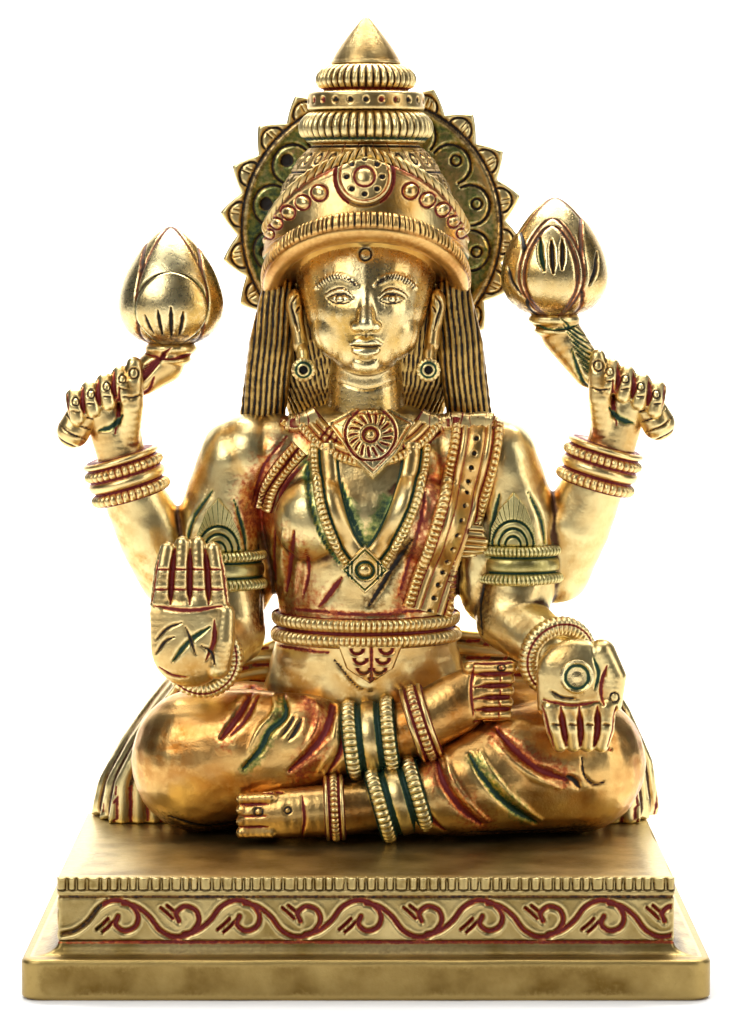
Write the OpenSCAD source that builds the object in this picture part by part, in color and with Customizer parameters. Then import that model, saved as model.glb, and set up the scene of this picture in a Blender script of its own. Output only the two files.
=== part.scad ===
// Four-armed seated goddess statuette in cast brass, on a two-step hollow plinth.
// Millimetres. +Z is up, the figure faces -Y, and the origin is the middle of the base's underside.
// Right and left are the figure's own, so its right hand is on -X.

/* [Plinth] */
// Width of the upper block's face
block_w = 124; // [104:1:150]
// Depth of the upper block
block_d = 80; // [66:1:98]
// Height of the lower step
foot_h = 8.2; // [6:0.1:12]
// Radius of the lower step's upright corners
foot_corner_r = 5; // [2:0.5:9]
// How far the lower step stands out at each side of the upper block
side_step = 7; // [6.5:0.5:14]
// How far the lower step stands out in front of and behind the upper block
front_step = 6; // [3:0.5:10]
// Height of the upper block
block_h = 15.8; // [13:0.1:20]
// Radius of the cove along the block's front and back
cove_r = 2.4; // [1:0.1:3]
// Radius of the wider cove at the block's sides
side_cove_r = 5.4; // [2:0.1:6.4]
// Thickness of the plinth's cast walls
wall = 4; // [3:0.1:6]
// Height of the reeded moulding along the block's front edge
moulding_h = 3.4; // [2.6:0.1:4.4]
// How far the moulding stands out of the block's face
moulding_out = 1; // [0.6:0.1:1.5]
// Number of reeds on the moulding
moulding_reeds = 60; // [40:1:72]
// Number of repeats of the scroll
scroll_repeats = 5; // [4:1:6]
// Depth of the engraved scroll
scroll_depth = 0.6; // [0.3:0.1:1]
// Width of the engraved line
scroll_line = 1.1; // [0.8:0.1:1.4]

/* [Figure] */
// Height of the figure from the seat to the crown's tip
figure_h = 174.5; // [140:0.5:210]
// Distance from the statuette's middle back to the figure's middle
figure_back = 14; // [10:0.5:18]
// How far necklaces, sash and belt stand out of the body
relief = 1.2; // [0.8:0.1:1.8]
// Radius of the hollow core inside the body
core_r = 9; // [6:0.5:9.5]
// Height of the hollow core above the seat
core_h = 62; // [40:1:66]
// Radial clearance between a pin and its bore
clearance = 0.05; // [0.02:0.01:0.15]
// Radius of the pin through the crown
crown_pin_r = 2.4; // [1.6:0.1:3]
// Radius of the halo's stud
halo_stud_r = 2.5; // [1.6:0.1:3.2]

/* [Crown and halo] */
// Radius of the crown's dome
crown_r = 20.5; // [18.5:0.1:22]
// Radius of the halo to the tips of its petals
halo_r = 33; // [29:0.5:40]
// Thickness of the halo
halo_t = 3; // [2:0.1:4]
// Number of petals round the halo
halo_petals = 20; // [16:1:26]
// Radius of the lotus buds
lotus_r = 11.4; // [9:0.1:13.5]
// Height of the lotus buds
lotus_h = 25; // [20:0.5:30]
// Radius of the arm rings
bangle_r = 8.6; // [7.8:0.1:9.8]
// Height of the rings on the raised wrists
bangle_h = 9.6; // [8:0.1:11]

/* [Hidden] */
$fn = 72;
body_fn = 14;                    // facets round a modelled limb
small_fn = 8;                    // facets round a finger
eps = 0.01;
figure_nominal = 174.5;          // the height that the figure's points are given for
k = figure_h / figure_nominal;
seat_z = foot_h + block_h;
foot_w = block_w + 2 * side_step;
foot_d = block_d + 2 * front_step;
cavity_w = block_w - 2 * wall;
cavity_d = block_d - 2 * wall;
block_front = -block_d / 2;
throat_r = core_r + 4;           // the body's neck through the plinth's top
moulding_bed = 1;                // depth of the rebate that the moulding sits in
reach = 60;                      // longer than any cut through the figure

// Centres and half-widths along each modelled part, from one end to the other.
torso_line = [
    [[0, 7, 9], [25, 15, 12]], [[0, 5, 30], [22.5, 13, 9]], [[0, 4, 44], [18.6, 14, 8]],
    [[0, 4, 56], [20, 14.5, 9]], [[0, 4, 68], [22.5, 15, 10]], [[0, 5, 80], [24, 13, 9]],
    [[0, 5, 88], [14, 10, 5]]
];
bust = [[11, -6, 68], [8.5, 8, 9]];
shoulder = [[25, 4, 81], [8.6, 9, 9]];
shoulder_cut = 26;               // the arms join the body at this distance from the middle
shoulder_base = 62;              // and above this height
core_y = 5;
right_leg_line = [
    [[-12, 10, 15], [14, 14, 15]], [[-26, 5, 16], [15.5, 14.5, 16]], [[-36, 0, 15.5], [14.5, 13.5, 15.5]],
    [[-25, -5, 18], [14, 11, 13.5]], [[-13, -8, 20.5], [9.5, 9, 10.5]], [[-4, -10, 21], [5.5, 6.5, 6.5]]
];
left_leg_line = [
    [[12, 10, 15], [14, 14, 15]], [[30, 5, 16], [17, 14.5, 16]], [[45, -1, 15.2], [15.2, 14, 15.2]],
    [[33, -7, 14.5], [14, 11, 13.5]], [[22, -11, 11.5], [10.5, 8.5, 10.5]], [[12, -13, 8.6], [6, 6.5, 6.5]]
];
right_foot_line = [
    [[4, -10, 21.5], [5, 5.5, 5.8]], [[11, -11, 24.5], [6.6, 5.5, 6.4]], [[19, -10.5, 29], [6.5, 5, 6.6]],
    [[25, -10, 32.2], [3.5, 3.8, 6.2]]
];
left_foot_line = [
    [[3, -14, 8], [4.6, 4.6, 5]], [[-6, -15, 7.2], [5.4, 4.8, 5.6]], [[-17, -15, 6.4], [6, 4.6, 5.4]],
    [[-24.5, -15, 6], [2.6, 3.8, 4.4]]
];
right_arm_line = [
    [[-29, 4, 79.4], [7, 8.6, 9]], [[-31.5, 4, 67], [9, 8.8, 9]], [[-31, 3, 54], [8.6, 8.4, 8.2]],
    [[-29, 0, 43], [7.6, 7.6, 7]], [[-33, -9, 39.5], [6.2, 6, 6]]
];
left_arm_line = [
    [[30, 4, 79.4], [7, 8.6, 9]], [[32.5, 4, 67], [9, 8.8, 9]], [[33, 3, 56], [8.6, 8.4, 8.2]],
    [[31, 0, 46], [7.6, 7.6, 7]], [[38, -9, 41.5], [6.2, 6, 6]]
];
right_rear_arm_line = [
    [[-35, 10, 57], [7.4, 7.4, 8.4]], [[-41.5, 7, 56], [8, 7.4, 8.4]], [[-46, 4.5, 64], [7.6, 7, 7.6]],
    [[-49.5, 3.2, 71], [6.9, 6.4, 5.4]]
];
left_rear_arm_line = [
    [[35, 10, 57], [7.4, 7.4, 8.4]], [[41, 7, 57], [8, 7.4, 8.4]], [[45, 4.5, 65.5], [7.6, 7, 7.6]],
    [[48.5, 3.2, 73], [6.9, 6.4, 5.4]]
];
head_line = [
    [[0, 4, 122], [15.6, 15, 14]], [[0, -0.5, 113], [13.2, 13, 11]], [[0, -5, 103.8], [7.6, 7.2, 5.2]]
];
neck_line = [[[0, 3, 102], [8, 7.5, 6]], [[0, 4, 92], [8.6, 8, 4]]];
back_hair_line = [[[0, 9, 118], [18, 10, 13]], [[0, 11, 98], [19, 8, 9]], [[0, 15, 80], [14, 6, 9]]];
side_hair_line = [
    [[18.5, 5, 116], [4, 4.5, 3.5]], [[20.5, 5, 104], [5.2, 4.5, 6]], [[21.3, 5, 92.5], [5, 4, 3]]
];
drape_line = [
    [-58, 4], [-56.5, 12], [-52, 20], [-46, 28.5], [-41.5, 34], [-20, 42], [20, 44], [44, 41.5],
    [50, 36], [56, 27], [60.5, 17], [62, 7], [61.6, 3]
];
// Where each wrist's ring sits, and which way its arm points.
right_wrist = [-51.4, 2.6, 76.6];
right_wrist_dir = [-0.28, -0.05, 0.96];
left_wrist = [50.2, 2.6, 78.8];
left_wrist_dir = [0.28, -0.05, 0.96];
right_palm = [-36.8, -17.6, 43.4];
left_palm = [44, -19, 35.4];
right_lotus = [-41.6, 2, 105];
left_lotus = [40.2, 2, 111.2];
left_lift = 1.6;                 // how much higher the left hand is held
armlet_z = 57;
coin_r = 3.4;
earring_r = 2.6;
drape_folds = 3;
drape_fold_d = 5;
drape_back = 25.4;
crown_y = 3;
brow_z = 118.5;
brow_h = 5.6;                    // height of the brow band
brow_out = 2.6;                  // how far it stands out of the crown
crown_lift = 30;                 // how far it tips up at the front, in degrees
dome_z = 125;
dome_h = 27;
tier_z = [147.6, 154.6, 158.4];
tier_h = [7, 4.6, 5.8];
tier_r = [14.2, 12.2, 10.6];
finial_z = 164.2;
finial_r = 7.3;
halo_x = 1.2;                    // the halo is cast a little off centre
halo_z = 129.6;
halo_y = 17;
stud_z = 139;
stud_y = 9;
pin_bottom_z = 142;
collar_points = [
    [-15.5, 93], [-13, 88.5], [-9, 85], [-4.5, 82.6], [0.8, 81.6],
    [6, 82.6], [10.6, 85], [14.6, 88.5], [17, 93]
];
collar_w = 5.2;
chain_points = [
    [-10.4, 82], [-10, 73], [-7, 65.5], [-3.2, 60], [-0.2, 58], [3, 60], [7.4, 65.5], [11, 73], [12, 82]
];
chain_w = 4.4;
sash_points = [[25.4, 91], [24.6, 84], [22, 74], [18.6, 64], [15, 55], [12.8, 49.6]];
sash_w = 9.6;

// ---------- helpers ----------

// Moves children onto the seat, at the figure's size.
module on_seat() translate([0, figure_back, seat_z]) scale(k) children();

module blob(at, half, fn = body_fn) translate(at) scale(half) sphere(1, $fn = fn);

// A smooth body through the blobs of a line, grown by g.
module skin(line, g = 0, fn = body_fn)
    for (i = [0 : len(line) - 2])
        hull() {
            blob(line[i][0], [for (h = line[i][1]) h + g], fn);
            blob(line[i + 1][0], [for (h = line[i + 1][1]) h + g], fn);
        }

// A finger-like rod through points, each with its radius last.
module rod(points, fn = small_fn)
    for (i = [0 : len(points) - 2])
        hull() {
            translate([points[i].x, points[i].y, points[i].z]) sphere(points[i][3], $fn = fn);
            translate([points[i + 1].x, points[i + 1].y, points[i + 1].z]) sphere(points[i + 1][3], $fn = fn);
        }

// Turns children's +Z to a direction, and moves them to a point.
module aim(at, dir)
    translate(at)
        rotate([0, acos(dir.z / norm(dir)), atan2(dir.y, dir.x)])
            children();

// A flat stroke of constant width through 2D points.
module stroke(points, width)
    for (i = [0 : len(points) - 2])
        hull() {
            translate(points[i]) circle(width / 2, $fn = small_fn);
            translate(points[i + 1]) circle(width / 2, $fn = small_fn);
        }

// Extrudes an outline drawn in X and Z through the figure's front half.
module through_front(depth = reach) rotate([90, 0, 0]) linear_extrude(depth) children();

module above_seat() translate([-foot_w, -foot_w, 0]) cube([2 * foot_w, 2 * foot_w, 3 * foot_w]);

// ---------- uncut forms ----------

// Two like blobs, one on each side, joined across the middle.
module across(part, g)
    hull() for (side = [-1, 1])
        blob([side * part[0].x, part[0].y, part[0].z], [for (h = part[1]) h + g]);

module torso_form(g = 0) {
    skin(torso_line, g);
    across(bust, g);
    across(shoulder, g);
}

// The space outside the body's shoulder joints, which belongs to the arms.
module beyond_shoulders()
    for (side = [-1, 1])
        translate([side * (shoulder_cut + reach / 2), 0, shoulder_base + reach / 2])
            cube(reach, center = true);

module torso_body()
    difference() {
        torso_form();
        beyond_shoulders();
    }

module head_form() {
    skin(head_line);
    skin(neck_line);
}

module leg_forms() {
    skin(right_leg_line);
    skin(left_leg_line);
}

module arm_forms() {
    skin(right_arm_line);
    skin(left_arm_line);
}

// A plate of thickness t that lies on the body's front, cut to its children's outline.
module on_torso(t)
    difference() {
        intersection() {
            torso_form(t);
            translate([0, 4, 0]) through_front() children();
        }
        torso_form();
    }

// ---------- plinth ----------

module foot_outline()
    difference() {
        square([foot_w, foot_d], center = true);
        for (sx = [-1, 1], sy = [-1, 1])
            translate([sx * foot_w / 2, sy * foot_d / 2])
                difference() {
                    square(2 * foot_corner_r, center = true);
                    translate([-sx * foot_corner_r, -sy * foot_corner_r]) circle(foot_corner_r);
                }
    }

module plinth_foot() color("darkgoldenrod")
    difference() {
        linear_extrude(foot_h) foot_outline();
        translate([-cavity_w / 2, -cavity_d / 2, -eps]) cube([cavity_w, cavity_d, foot_h + 2 * eps]);
    }

module arc_line(r)
    intersection() {
        difference() {
            circle(r + scroll_line / 2);
            circle(r - scroll_line / 2);
        }
        translate([-2 * r, 0]) square([4 * r, 2 * r]);
    }

// One sweep of the scroll: a long arch that curls back under its end.
module scroll_unit(pitch) {
    wave = pitch * 0.21;
    curl = pitch * 0.105;
    arc_line(wave);
    translate([wave - curl, 0]) mirror([0, 1]) arc_line(curl);
}

module scroll_frieze() {
    pitch = (block_w - 2 * moulding_h) / scroll_repeats;
    middle = foot_h + cove_r + (block_h - cove_r - moulding_h) / 2;
    for (i = [0 : scroll_repeats - 1])
        translate([-block_w / 2 + moulding_h + pitch * (i + 0.27), 0, middle])
            through_front(2 * scroll_depth) {
                translate([0, -pitch * 0.06]) scroll_unit(pitch);
                translate([pitch * 0.44, pitch * 0.06]) mirror([0, 1]) scroll_unit(pitch);
            }
}

// The block's upright section: straight sides that flare out to its foot in a cove.
module flared_section(half, cove)
    difference() {
        translate([-half - cove, 0]) square([2 * (half + cove), block_h]);
        for (s = [-1, 1]) translate([s * (half + cove), cove]) {
            circle(cove);
            translate([-cove, 0]) square([2 * cove, block_h]);
        }
    }

module plinth_block() color("goldenrod")
    difference() {
        intersection() {
            translate([0, foot_d / 2, foot_h]) through_front(foot_d) flared_section(block_w / 2, side_cove_r);
            translate([-foot_w / 2, 0, foot_h]) rotate([90, 0, 90])
                linear_extrude(foot_w) flared_section(block_d / 2, cove_r);
        }
        // The hollow under the block, the body's throat, the moulding's rebate and the scroll
        translate([-cavity_w / 2, -cavity_d / 2, foot_h - eps]) cube([cavity_w, cavity_d, block_h - wall]);
        on_seat() translate([0, core_y, -reach]) cylinder(r = throat_r + clearance, h = 2 * reach);
        translate([-foot_w / 2, block_front - eps, seat_z - moulding_h])
            cube([foot_w, moulding_bed, moulding_h + eps]);
        translate([0, block_front + scroll_depth, 0]) scroll_frieze();
    }

module reeded_moulding() color("gold") {
    pitch = block_w / moulding_reeds;
    fillet = 0.7;
    face_y = block_front - moulding_out / 2;
    difference() {
        translate([-block_w / 2, face_y, seat_z - moulding_h])
            cube([block_w, moulding_out / 2 + moulding_bed - eps, moulding_h]);
        for (i = [1 : moulding_reeds - 1])
            translate([-block_w / 2 + i * pitch, face_y, seat_z - moulding_h + fillet])
                cylinder(r = pitch * 0.28, h = moulding_h, $fn = 16);
    }
    translate([0, face_y, seat_z - moulding_h + fillet / 2]) rotate([0, 90, 0])
        cylinder(r = fillet / 2 - eps, h = block_w, center = true);
}

// ---------- body and legs ----------

// The cloth that stands up behind the figure, in three folds.
module back_drape() color("tan") on_seat()
    difference() {
        intersection() {
            above_seat();
            for (fold = [0 : drape_folds - 1])
                translate([0, drape_back - fold * drape_fold_d, 0])
                    through_front(drape_fold_d + eps)
                        hull() for (p = drape_line, side = [0, 1])
                            translate([p.x * (1 - 0.035 * fold), side * (p.y - 5 + 0.8 * fold)])
                                circle(3 - 0.3 * fold, $fn = small_fn);
        }
        leg_forms();
        torso_form();
        skin(right_rear_arm_line);
        skin(left_rear_arm_line);
        arm_forms();
    }

module torso() color("goldenrod") on_seat() {
    difference() {
        intersection() {
            torso_body();
            above_seat();
        }
        translate([0, core_y, -reach]) cylinder(r = core_r, h = reach + core_h);
    }
    translate([0, core_y, -wall]) difference() {
        cylinder(r = throat_r, h = wall + eps);
        translate([0, 0, -eps]) cylinder(r = core_r, h = reach);
    }
}

module right_leg() color("goldenrod") on_seat()
    difference() {
        intersection() {
            skin(right_leg_line);
            above_seat();
        }
        torso_form();
    }

module left_leg() color("goldenrod") on_seat()
    difference() {
        intersection() {
            skin(left_leg_line);
            above_seat();
        }
        torso_form();
        skin(right_leg_line);
    }

module right_foot() color("gold") on_seat()
    difference() {
        union() {
            skin(right_foot_line);
            for (toe = [0 : 4])
                rod([[24, -12.6, 37 - toe * 2.5, 1.3], [30.6 - toe * 0.1, -12.8, 37.2 - toe * 2.5, 1.25]]);
        }
        leg_forms();
        torso_form();
    }

module left_foot() color("gold") on_seat()
    difference() {
        intersection() {
            union() {
                skin(left_foot_line);
                for (toe = [0 : 3])
                    rod([[-20, -17.5, 10.4 - toe * 2.4, 1.3], [-26.4, -16.4, 9.8 - toe * 2.4, 1.2]]);
            }
            above_seat();
        }
        leg_forms();
        torso_form();
    }

// ---------- rings on the legs ----------

module leg_ring(at, dir, r, h) aim(at, dir) translate([0, 0, -h / 2]) cylinder(r = r, h = h, $fn = 36);

// Two ridges with a lower band between them.
module shin_rings(at, dir, r) {
    leg_ring(at, dir, r - relief, 11);
    for (s = [-4, 0, 4]) leg_ring(at + s * dir, dir, r, 2.8);
}

module right_shin_rings() color("seagreen") on_seat()
    difference() {
        shin_rings([1.2, -9.8, 21.6], [1, -0.05, 0.12], 8);
        leg_forms();
        skin(right_foot_line);
        torso_form();
    }

module right_foot_anklet() color("indianred") on_seat()
    difference() {
        leg_ring([11.8, -10.8, 25], [1, -0.02, 0.34], 8.2, 4.6);
        skin(right_foot_line);
        leg_forms();
        torso_form();
    }

module left_shin_rings() color("seagreen") on_seat()
    difference() {
        intersection() {
            shin_rings([7, -13.4, 9.1], [0.96, 0.02, 0.28], 7.8);
            above_seat();
        }
        leg_forms();
        skin(left_foot_line);
        torso_form();
    }

module left_foot_anklet() color("indianred") on_seat()
    difference() {
        intersection() {
            leg_ring([-6.6, -14.6, 7.6], [1, 0, 0.05], 6.7, 3.6);
            above_seat();
        }
        skin(left_foot_line);
        leg_forms();
    }

// ---------- ornaments on the body ----------

module waist_belt() color("gold") on_seat()
    difference() {
        union() {
            on_torso(relief) translate([-22, 41.7]) square([44, 6]);
            on_torso(relief * 1.5) for (z = [46.3, 43.1]) stroke([[-21, z], [21, z]], 2.6);
        }
        arm_forms();
    }

module belt_pendant() color("gold") on_seat()
    difference() {
        on_torso(relief * 1.3) polygon([[-6.5, 41.6], [8, 41.6], [5.6, 36.8], [0.8, 34], [-4, 36.8]]);
        leg_forms();
    }

module pendant_outline()
    polygon([[-8.4, 88.6], [-2, 90.4], [3.6, 90.4], [10, 88.6], [6.4, 81.5], [0.8, 76.6], [-4.8, 81.5]]);

module clasp_outline() polygon([[-0.2, 63.2], [4.6, 58], [-0.2, 52.8], [-5, 58]]);

module collar_necklace() color("gold") on_seat()
    difference() {
        on_torso(relief) difference() {
            stroke(collar_points, collar_w);
            pendant_outline();
        }
        head_form();
    }

module collar_pendant() color("gold") on_seat()
    difference() {
        on_torso(relief * 1.5) pendant_outline();
        head_form();
    }

module long_necklace() color("gold") on_seat()
    on_torso(relief) difference() {
        stroke(chain_points, chain_w);
        stroke(collar_points, collar_w);
        pendant_outline();
        clasp_outline();
    }

module necklace_clasp() color("gold") on_seat() on_torso(relief * 1.5) clasp_outline();

module shoulder_sash() color("peru") on_seat()
    difference() {
        on_torso(relief) difference() {
            stroke(sash_points, sash_w);
            stroke(chain_points, chain_w + 0.2);
            stroke(collar_points, collar_w);
            clasp_outline();
            translate([-reach / 2, 0]) square([reach, 47.8]);
        }
        skin(left_arm_line);
    }

module sleeve_trim() color("indianred") on_seat()
    difference() {
        on_torso(relief * 0.8) difference() {
            stroke([[-14, 83], [-19, 77], [-21.6, 70]], 4.4);
            stroke(chain_points, chain_w + 0.2);
            stroke(collar_points, collar_w);
        }
        skin(right_arm_line);
    }

// ---------- arms ----------

module front_arm(line, side) color("goldenrod") on_seat()
    difference() {
        union() {
            skin(line);
            intersection() {
                blob([side * shoulder[0].x, shoulder[0].y, shoulder[0].z], shoulder[1]);
                beyond_shoulders();
            }
        }
        torso_body();
        leg_forms();
    }

module right_arm() front_arm(right_arm_line, -1);

module left_arm() front_arm(left_arm_line, 1);

// An arm ring of two bands, with a leaf-shaped crest.
module armlet(line, side, rear_line) color("seagreen") on_seat()
    difference() {
        intersection() {
            skin(line, relief);
            union() {
                translate([side * 32, 3, armlet_z - 4]) cylinder(r = 14, h = 3.2);
                translate([side * 32, 3, armlet_z + 0.8]) cylinder(r = 14, h = 3.2);
                intersection() {
                    skin(line, relief * 0.6);
                    translate([side * 32, 3, armlet_z - 4]) cylinder(r = 14, h = 8);
                }
                translate([side * 31.4, 4, 0]) through_front()
                    polygon([[-5, 61], [5, 61], [4.6, 66], [0, 73], [-4.6, 66]]);
            }
        }
        skin(line);
        torso_form();
        skin(rear_line);
    }

module right_armlet() armlet(right_arm_line, -1, right_rear_arm_line);

module left_armlet() armlet(left_arm_line, 1, left_rear_arm_line);

module rear_arm(line, wrist, dir, front_line) color("goldenrod") on_seat()
    difference() {
        skin(line);
        torso_form();
        skin(front_line);
        aim(wrist, dir) translate([0, 0, -bangle_h / 2]) cylinder(r = 2 * bangle_r, h = reach / 2);
    }

module rear_right_arm() rear_arm(right_rear_arm_line, right_wrist, right_wrist_dir, right_arm_line);

module rear_left_arm() rear_arm(left_rear_arm_line, left_wrist, left_wrist_dir, left_arm_line);

// A solid ring with three bulges, between a raised forearm and its hand.
module rear_bangle(wrist, dir) color("indianred") on_seat()
    aim(wrist, dir) translate([0, 0, -bangle_h / 2]) {
        bulge = bangle_h / 6;
        cylinder(r = bangle_r - bulge, h = bangle_h);
        for (i = [1, 3, 5]) translate([0, 0, bulge * i]) rotate_extrude() {
            translate([0, -bulge]) square([bangle_r - bulge, 2 * bulge]);
            translate([bangle_r - bulge, 0]) circle(bulge * 0.98);
        }
    }

module rear_right_bangle() rear_bangle(right_wrist, right_wrist_dir);

module rear_left_bangle() rear_bangle(left_wrist, left_wrist_dir);

// A hand closed on a lotus stem, with its thumb up. side is -1 for the right hand.
module grip_form(side, lift) {
    rod([
        [side * 52.4, 2.2, 83 + lift, 5.2], [side * 54, 1.6, 88.5 + lift, 5.4],
        [side * 56.6, 1.2, 91.5 + lift, 4.6]
    ], body_fn);
    for (f = [0 : 3]) {
        x = 61.6 - f * 3.3;
        z = 91.6 + f * 1.6 + lift;
        rod([
            [side * x, 2, z, 1.9], [side * (x + 0.4), -2.6, z + 2, 2],
            [side * (x - 0.5), -4.2, z - 1.4, 1.8]
        ]);
    }
    rod([
        [side * 50.6, 0, 86 + lift, 2.6], [side * 49.6, -3, 93 + lift, 2.5],
        [side * 49.2, -3.4, 100.4 + lift, 1.9]
    ]);
}

module stem_form(side, lift, top)
    rod([
        [side * 62.8, -0.6, 87.4 + lift, 3.7], [side * 59.4, 0, 91 + lift, 3],
        [side * 54, 0, 94.6 + lift, 2.8],
        [side * 47.6, 0.4, 97.6 + lift, 3.6], [top.x + side * 1.6, 1.4, top.z - 4.6, 4.5],
        [top.x, top.y, top.z - 1, 5]
    ], 12);

module rear_hand(side, lift, wrist, dir, top) color("gold") on_seat()
    difference() {
        grip_form(side, lift);
        stem_form(side, lift, top);
        aim(wrist, dir) translate([0, 0, bangle_h / 2 - reach]) cylinder(r = 3 * bangle_r, h = reach);
    }

module rear_right_hand() rear_hand(-1, 0, right_wrist, right_wrist_dir, right_lotus);

module rear_left_hand() rear_hand(1, left_lift, left_wrist, left_wrist_dir, left_lotus);

module lotus_stem(side, lift, top) color("sandybrown") on_seat()
    difference() {
        stem_form(side, lift, top);
        translate(top) cylinder(r = 8, h = 20);
    }

module right_lotus_stem() lotus_stem(-1, 0, right_lotus);

module left_lotus_stem() lotus_stem(1, left_lift, left_lotus);

// The bud swells low down and closes to a point.
function bud_r(t) = lotus_r * pow(sin(180 * pow(t, 0.68)), 0.58) * (1 - 0.12 * t);

module lotus_bud(top) color("khaki") on_seat()
    translate(top) rotate_extrude() polygon(concat(
        [[0, 0], [4.6, 0]],
        [for (t = [0.04 : 0.06 : 0.94]) [max(bud_r(t), 0.6), lotus_h * t]],
        [[0, lotus_h]]
    ));

module right_lotus_bud() lotus_bud(right_lotus);

module left_lotus_bud() lotus_bud(left_lotus);

// ---------- front hands ----------

// Raised, with its palm to the front.
module right_hand_form() {
    hull() {
        blob(right_palm, [8.2, 3.6, 9.6]);
        blob(right_palm + [0, 0, 5.6], [8.4, 3.3, 4]);
    }
    for (f = [0 : 3])
        rod([
            [-43 + f * 4.1, -17.8, 51, 2.2], [-42.4 + f * 3.7, -17.6, 58, 2],
            [-41.6 + f * 3.2, -17, 62.6 + (f % 3 > 0 ? 1.2 : 0), 1.6]
        ]);
    rod([[-31, -18.6, 40, 2.4], [-29.4, -18.8, 49, 2]]);
}

module right_hand() color("khaki") on_seat()
    difference() {
        right_hand_form();
        skin(right_arm_line);
    }

// Lowered, with its palm to the front and its fingers down.
module left_hand_form() {
    hull() {
        blob(left_palm, [8.2, 3.4, 8.4]);
        blob(left_palm - [0, 0, 6], [7.8, 3.2, 4]);
    }
    for (f = [0 : 3])
        rod([
            [38.6 + f * 3.9, -20.2, 29, 2], [39.6 + f * 3.5, -20.4, 25, 1.9],
            [40.6 + f * 2.9, -19.8, 22.2, 1.7]
        ]);
    rod([[49.4, -18.8, 41, 3], [52, -19.4, 36, 2.6], [51.8, -20, 31.4, 1.9]]);
}

module coin_form() translate(left_palm + [0, -2.4, 1]) rotate([90, 0, 0]) cylinder(r = coin_r, h = 2.2);

module left_hand() color("khaki") on_seat()
    difference() {
        left_hand_form();
        skin(left_arm_line);
        skin(left_leg_line);
        coin_form();
    }

module palm_coin() color("gold") on_seat() coin_form();

module front_bangle(at, dir) aim(at, dir) translate([0, 0, -2]) cylinder(r = bangle_r, h = 4);

module right_bangle() color("indianred") on_seat()
    difference() {
        front_bangle([-34.4, -13, 39.4], [-0.15, -0.95, 0]);
        skin(right_arm_line);
        right_hand_form();
        torso_form();
        leg_forms();
    }

module left_bangle() color("indianred") on_seat()
    difference() {
        front_bangle([40.4, -12.8, 39.6], [0.35, -0.9, -0.2]);
        skin(left_arm_line);
        left_hand_form();
        torso_form();
        leg_forms();
    }

// ---------- head ----------

module head() color("khaki") on_seat()
    difference() {
        head_form();
        torso_form();
    }

module ear_form(side) hull() {
    blob([side * 15.2, 0, 113], [1.9, 3, 3.6], 12);
    blob([side * 14, -1.4, 105.6], [1.7, 2.2, 2.4], 12);
}

module earring_form(side) translate([side * 13.2, -6, 99.8]) {
    sphere(earring_r);
    rotate([90, 0, 0]) cylinder(r = earring_r * 0.55, h = earring_r * 1.2);
    translate([0, 2.2, 2.8]) sphere(1.5);
}

module ear(side) color("khaki") on_seat()
    difference() {
        ear_form(side);
        skin(head_line);
        earring_form(side);
    }

module right_ear() ear(-1);

module left_ear() ear(1);

module right_earring() color("gold") on_seat() earring_form(-1);

module left_earring() color("gold") on_seat() earring_form(1);

module back_hair() color("saddlebrown") on_seat()
    difference() {
        skin(back_hair_line);
        head_form();
        torso_form();
        crown_room();
        behind_halo();
    }

module side_hair(side) color("saddlebrown") on_seat()
    difference() {
        skin([for (s = side_hair_line) [[side * s[0].x, s[0].y, s[0].z], s[1]]]);
        skin(back_hair_line);
        head_form();
        torso_form();
        ear_form(side);
        crown_room();
    }

module right_hair() side_hair(-1);

module left_hair() side_hair(1);

// ---------- crown ----------

function dome_outline(r, h) = concat([[0, 0]], [for (a = [0 : 6 : 90]) [r * cos(a), h * sin(a)]]);

// The dome, with straight sides carried down below it.
module dome_form(g = 0) translate([0, crown_y, 0]) {
    translate([0, 0, dome_z]) rotate_extrude() polygon(dome_outline(crown_r + g, dome_h + g));
    translate([0, 0, dome_z - 26]) cylinder(r = crown_r + g, h = 26 + eps);
}

// A slab of thickness t about the brow band's plane, tipped up at the front.
module brow_slab(t)
    translate([0, crown_y, brow_z]) rotate([-crown_lift, 0, 0])
        translate([-reach, -reach, -t / 2]) cube([2 * reach, 2 * reach, t]);

module above_brow()
    translate([0, crown_y, brow_z]) rotate([-crown_lift, 0, 0])
        translate([-reach, -reach, brow_h / 2]) cube(2 * reach);

module behind_halo() translate([-reach, halo_y, halo_z - reach]) cube(2 * reach);

// Everything that the crown takes up on the head, as one plain shape.
module crown_room() {
    intersection() {
        dome_form(brow_out);
        brow_slab(brow_h + 0.2);
    }
    intersection() {
        dome_form();
        above_brow();
    }
}

module crown_brow_band() color("peru") on_seat()
    difference() {
        union() {
            intersection() {
                dome_form(brow_out * 0.6);
                brow_slab(brow_h);
            }
            intersection() {
                dome_form(brow_out);
                brow_slab(brow_h * 0.6);
            }
        }
        skin(head_line);
        behind_halo();
    }

module crown_dome() color("khaki") on_seat()
    difference() {
        intersection() {
            dome_form();
            above_brow();
        }
        skin(head_line);
        behind_halo();
        translate([0, crown_y, pin_bottom_z - eps]) cylinder(r = crown_pin_r + clearance, h = reach);
        translate([0, stud_y - eps, stud_z]) rotate([-90, 0, 0])
            cylinder(r = halo_stud_r + clearance, h = reach);
        translate([0, 0, tier_z[0] + reach]) cube(2 * reach, center = true);
    }

// The diadem's outline: an arched band from temple to temple, between two heights over the brow.
module diadem_outline(top, bottom) {
    end = crown_r * 0.99;
    arch = function (x) sqrt(1 - pow(x / (crown_r + 1), 2));
    polygon(concat(
        [for (i = [-6 : 6]) [end * i / 6, brow_z + bottom * arch(end * i / 6)]],
        [for (i = [6 : -1 : -6]) [end * i / 6, brow_z + 3 + (top - 3) * arch(end * i / 6) - abs(i) * 0.17]]
    ));
}

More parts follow.
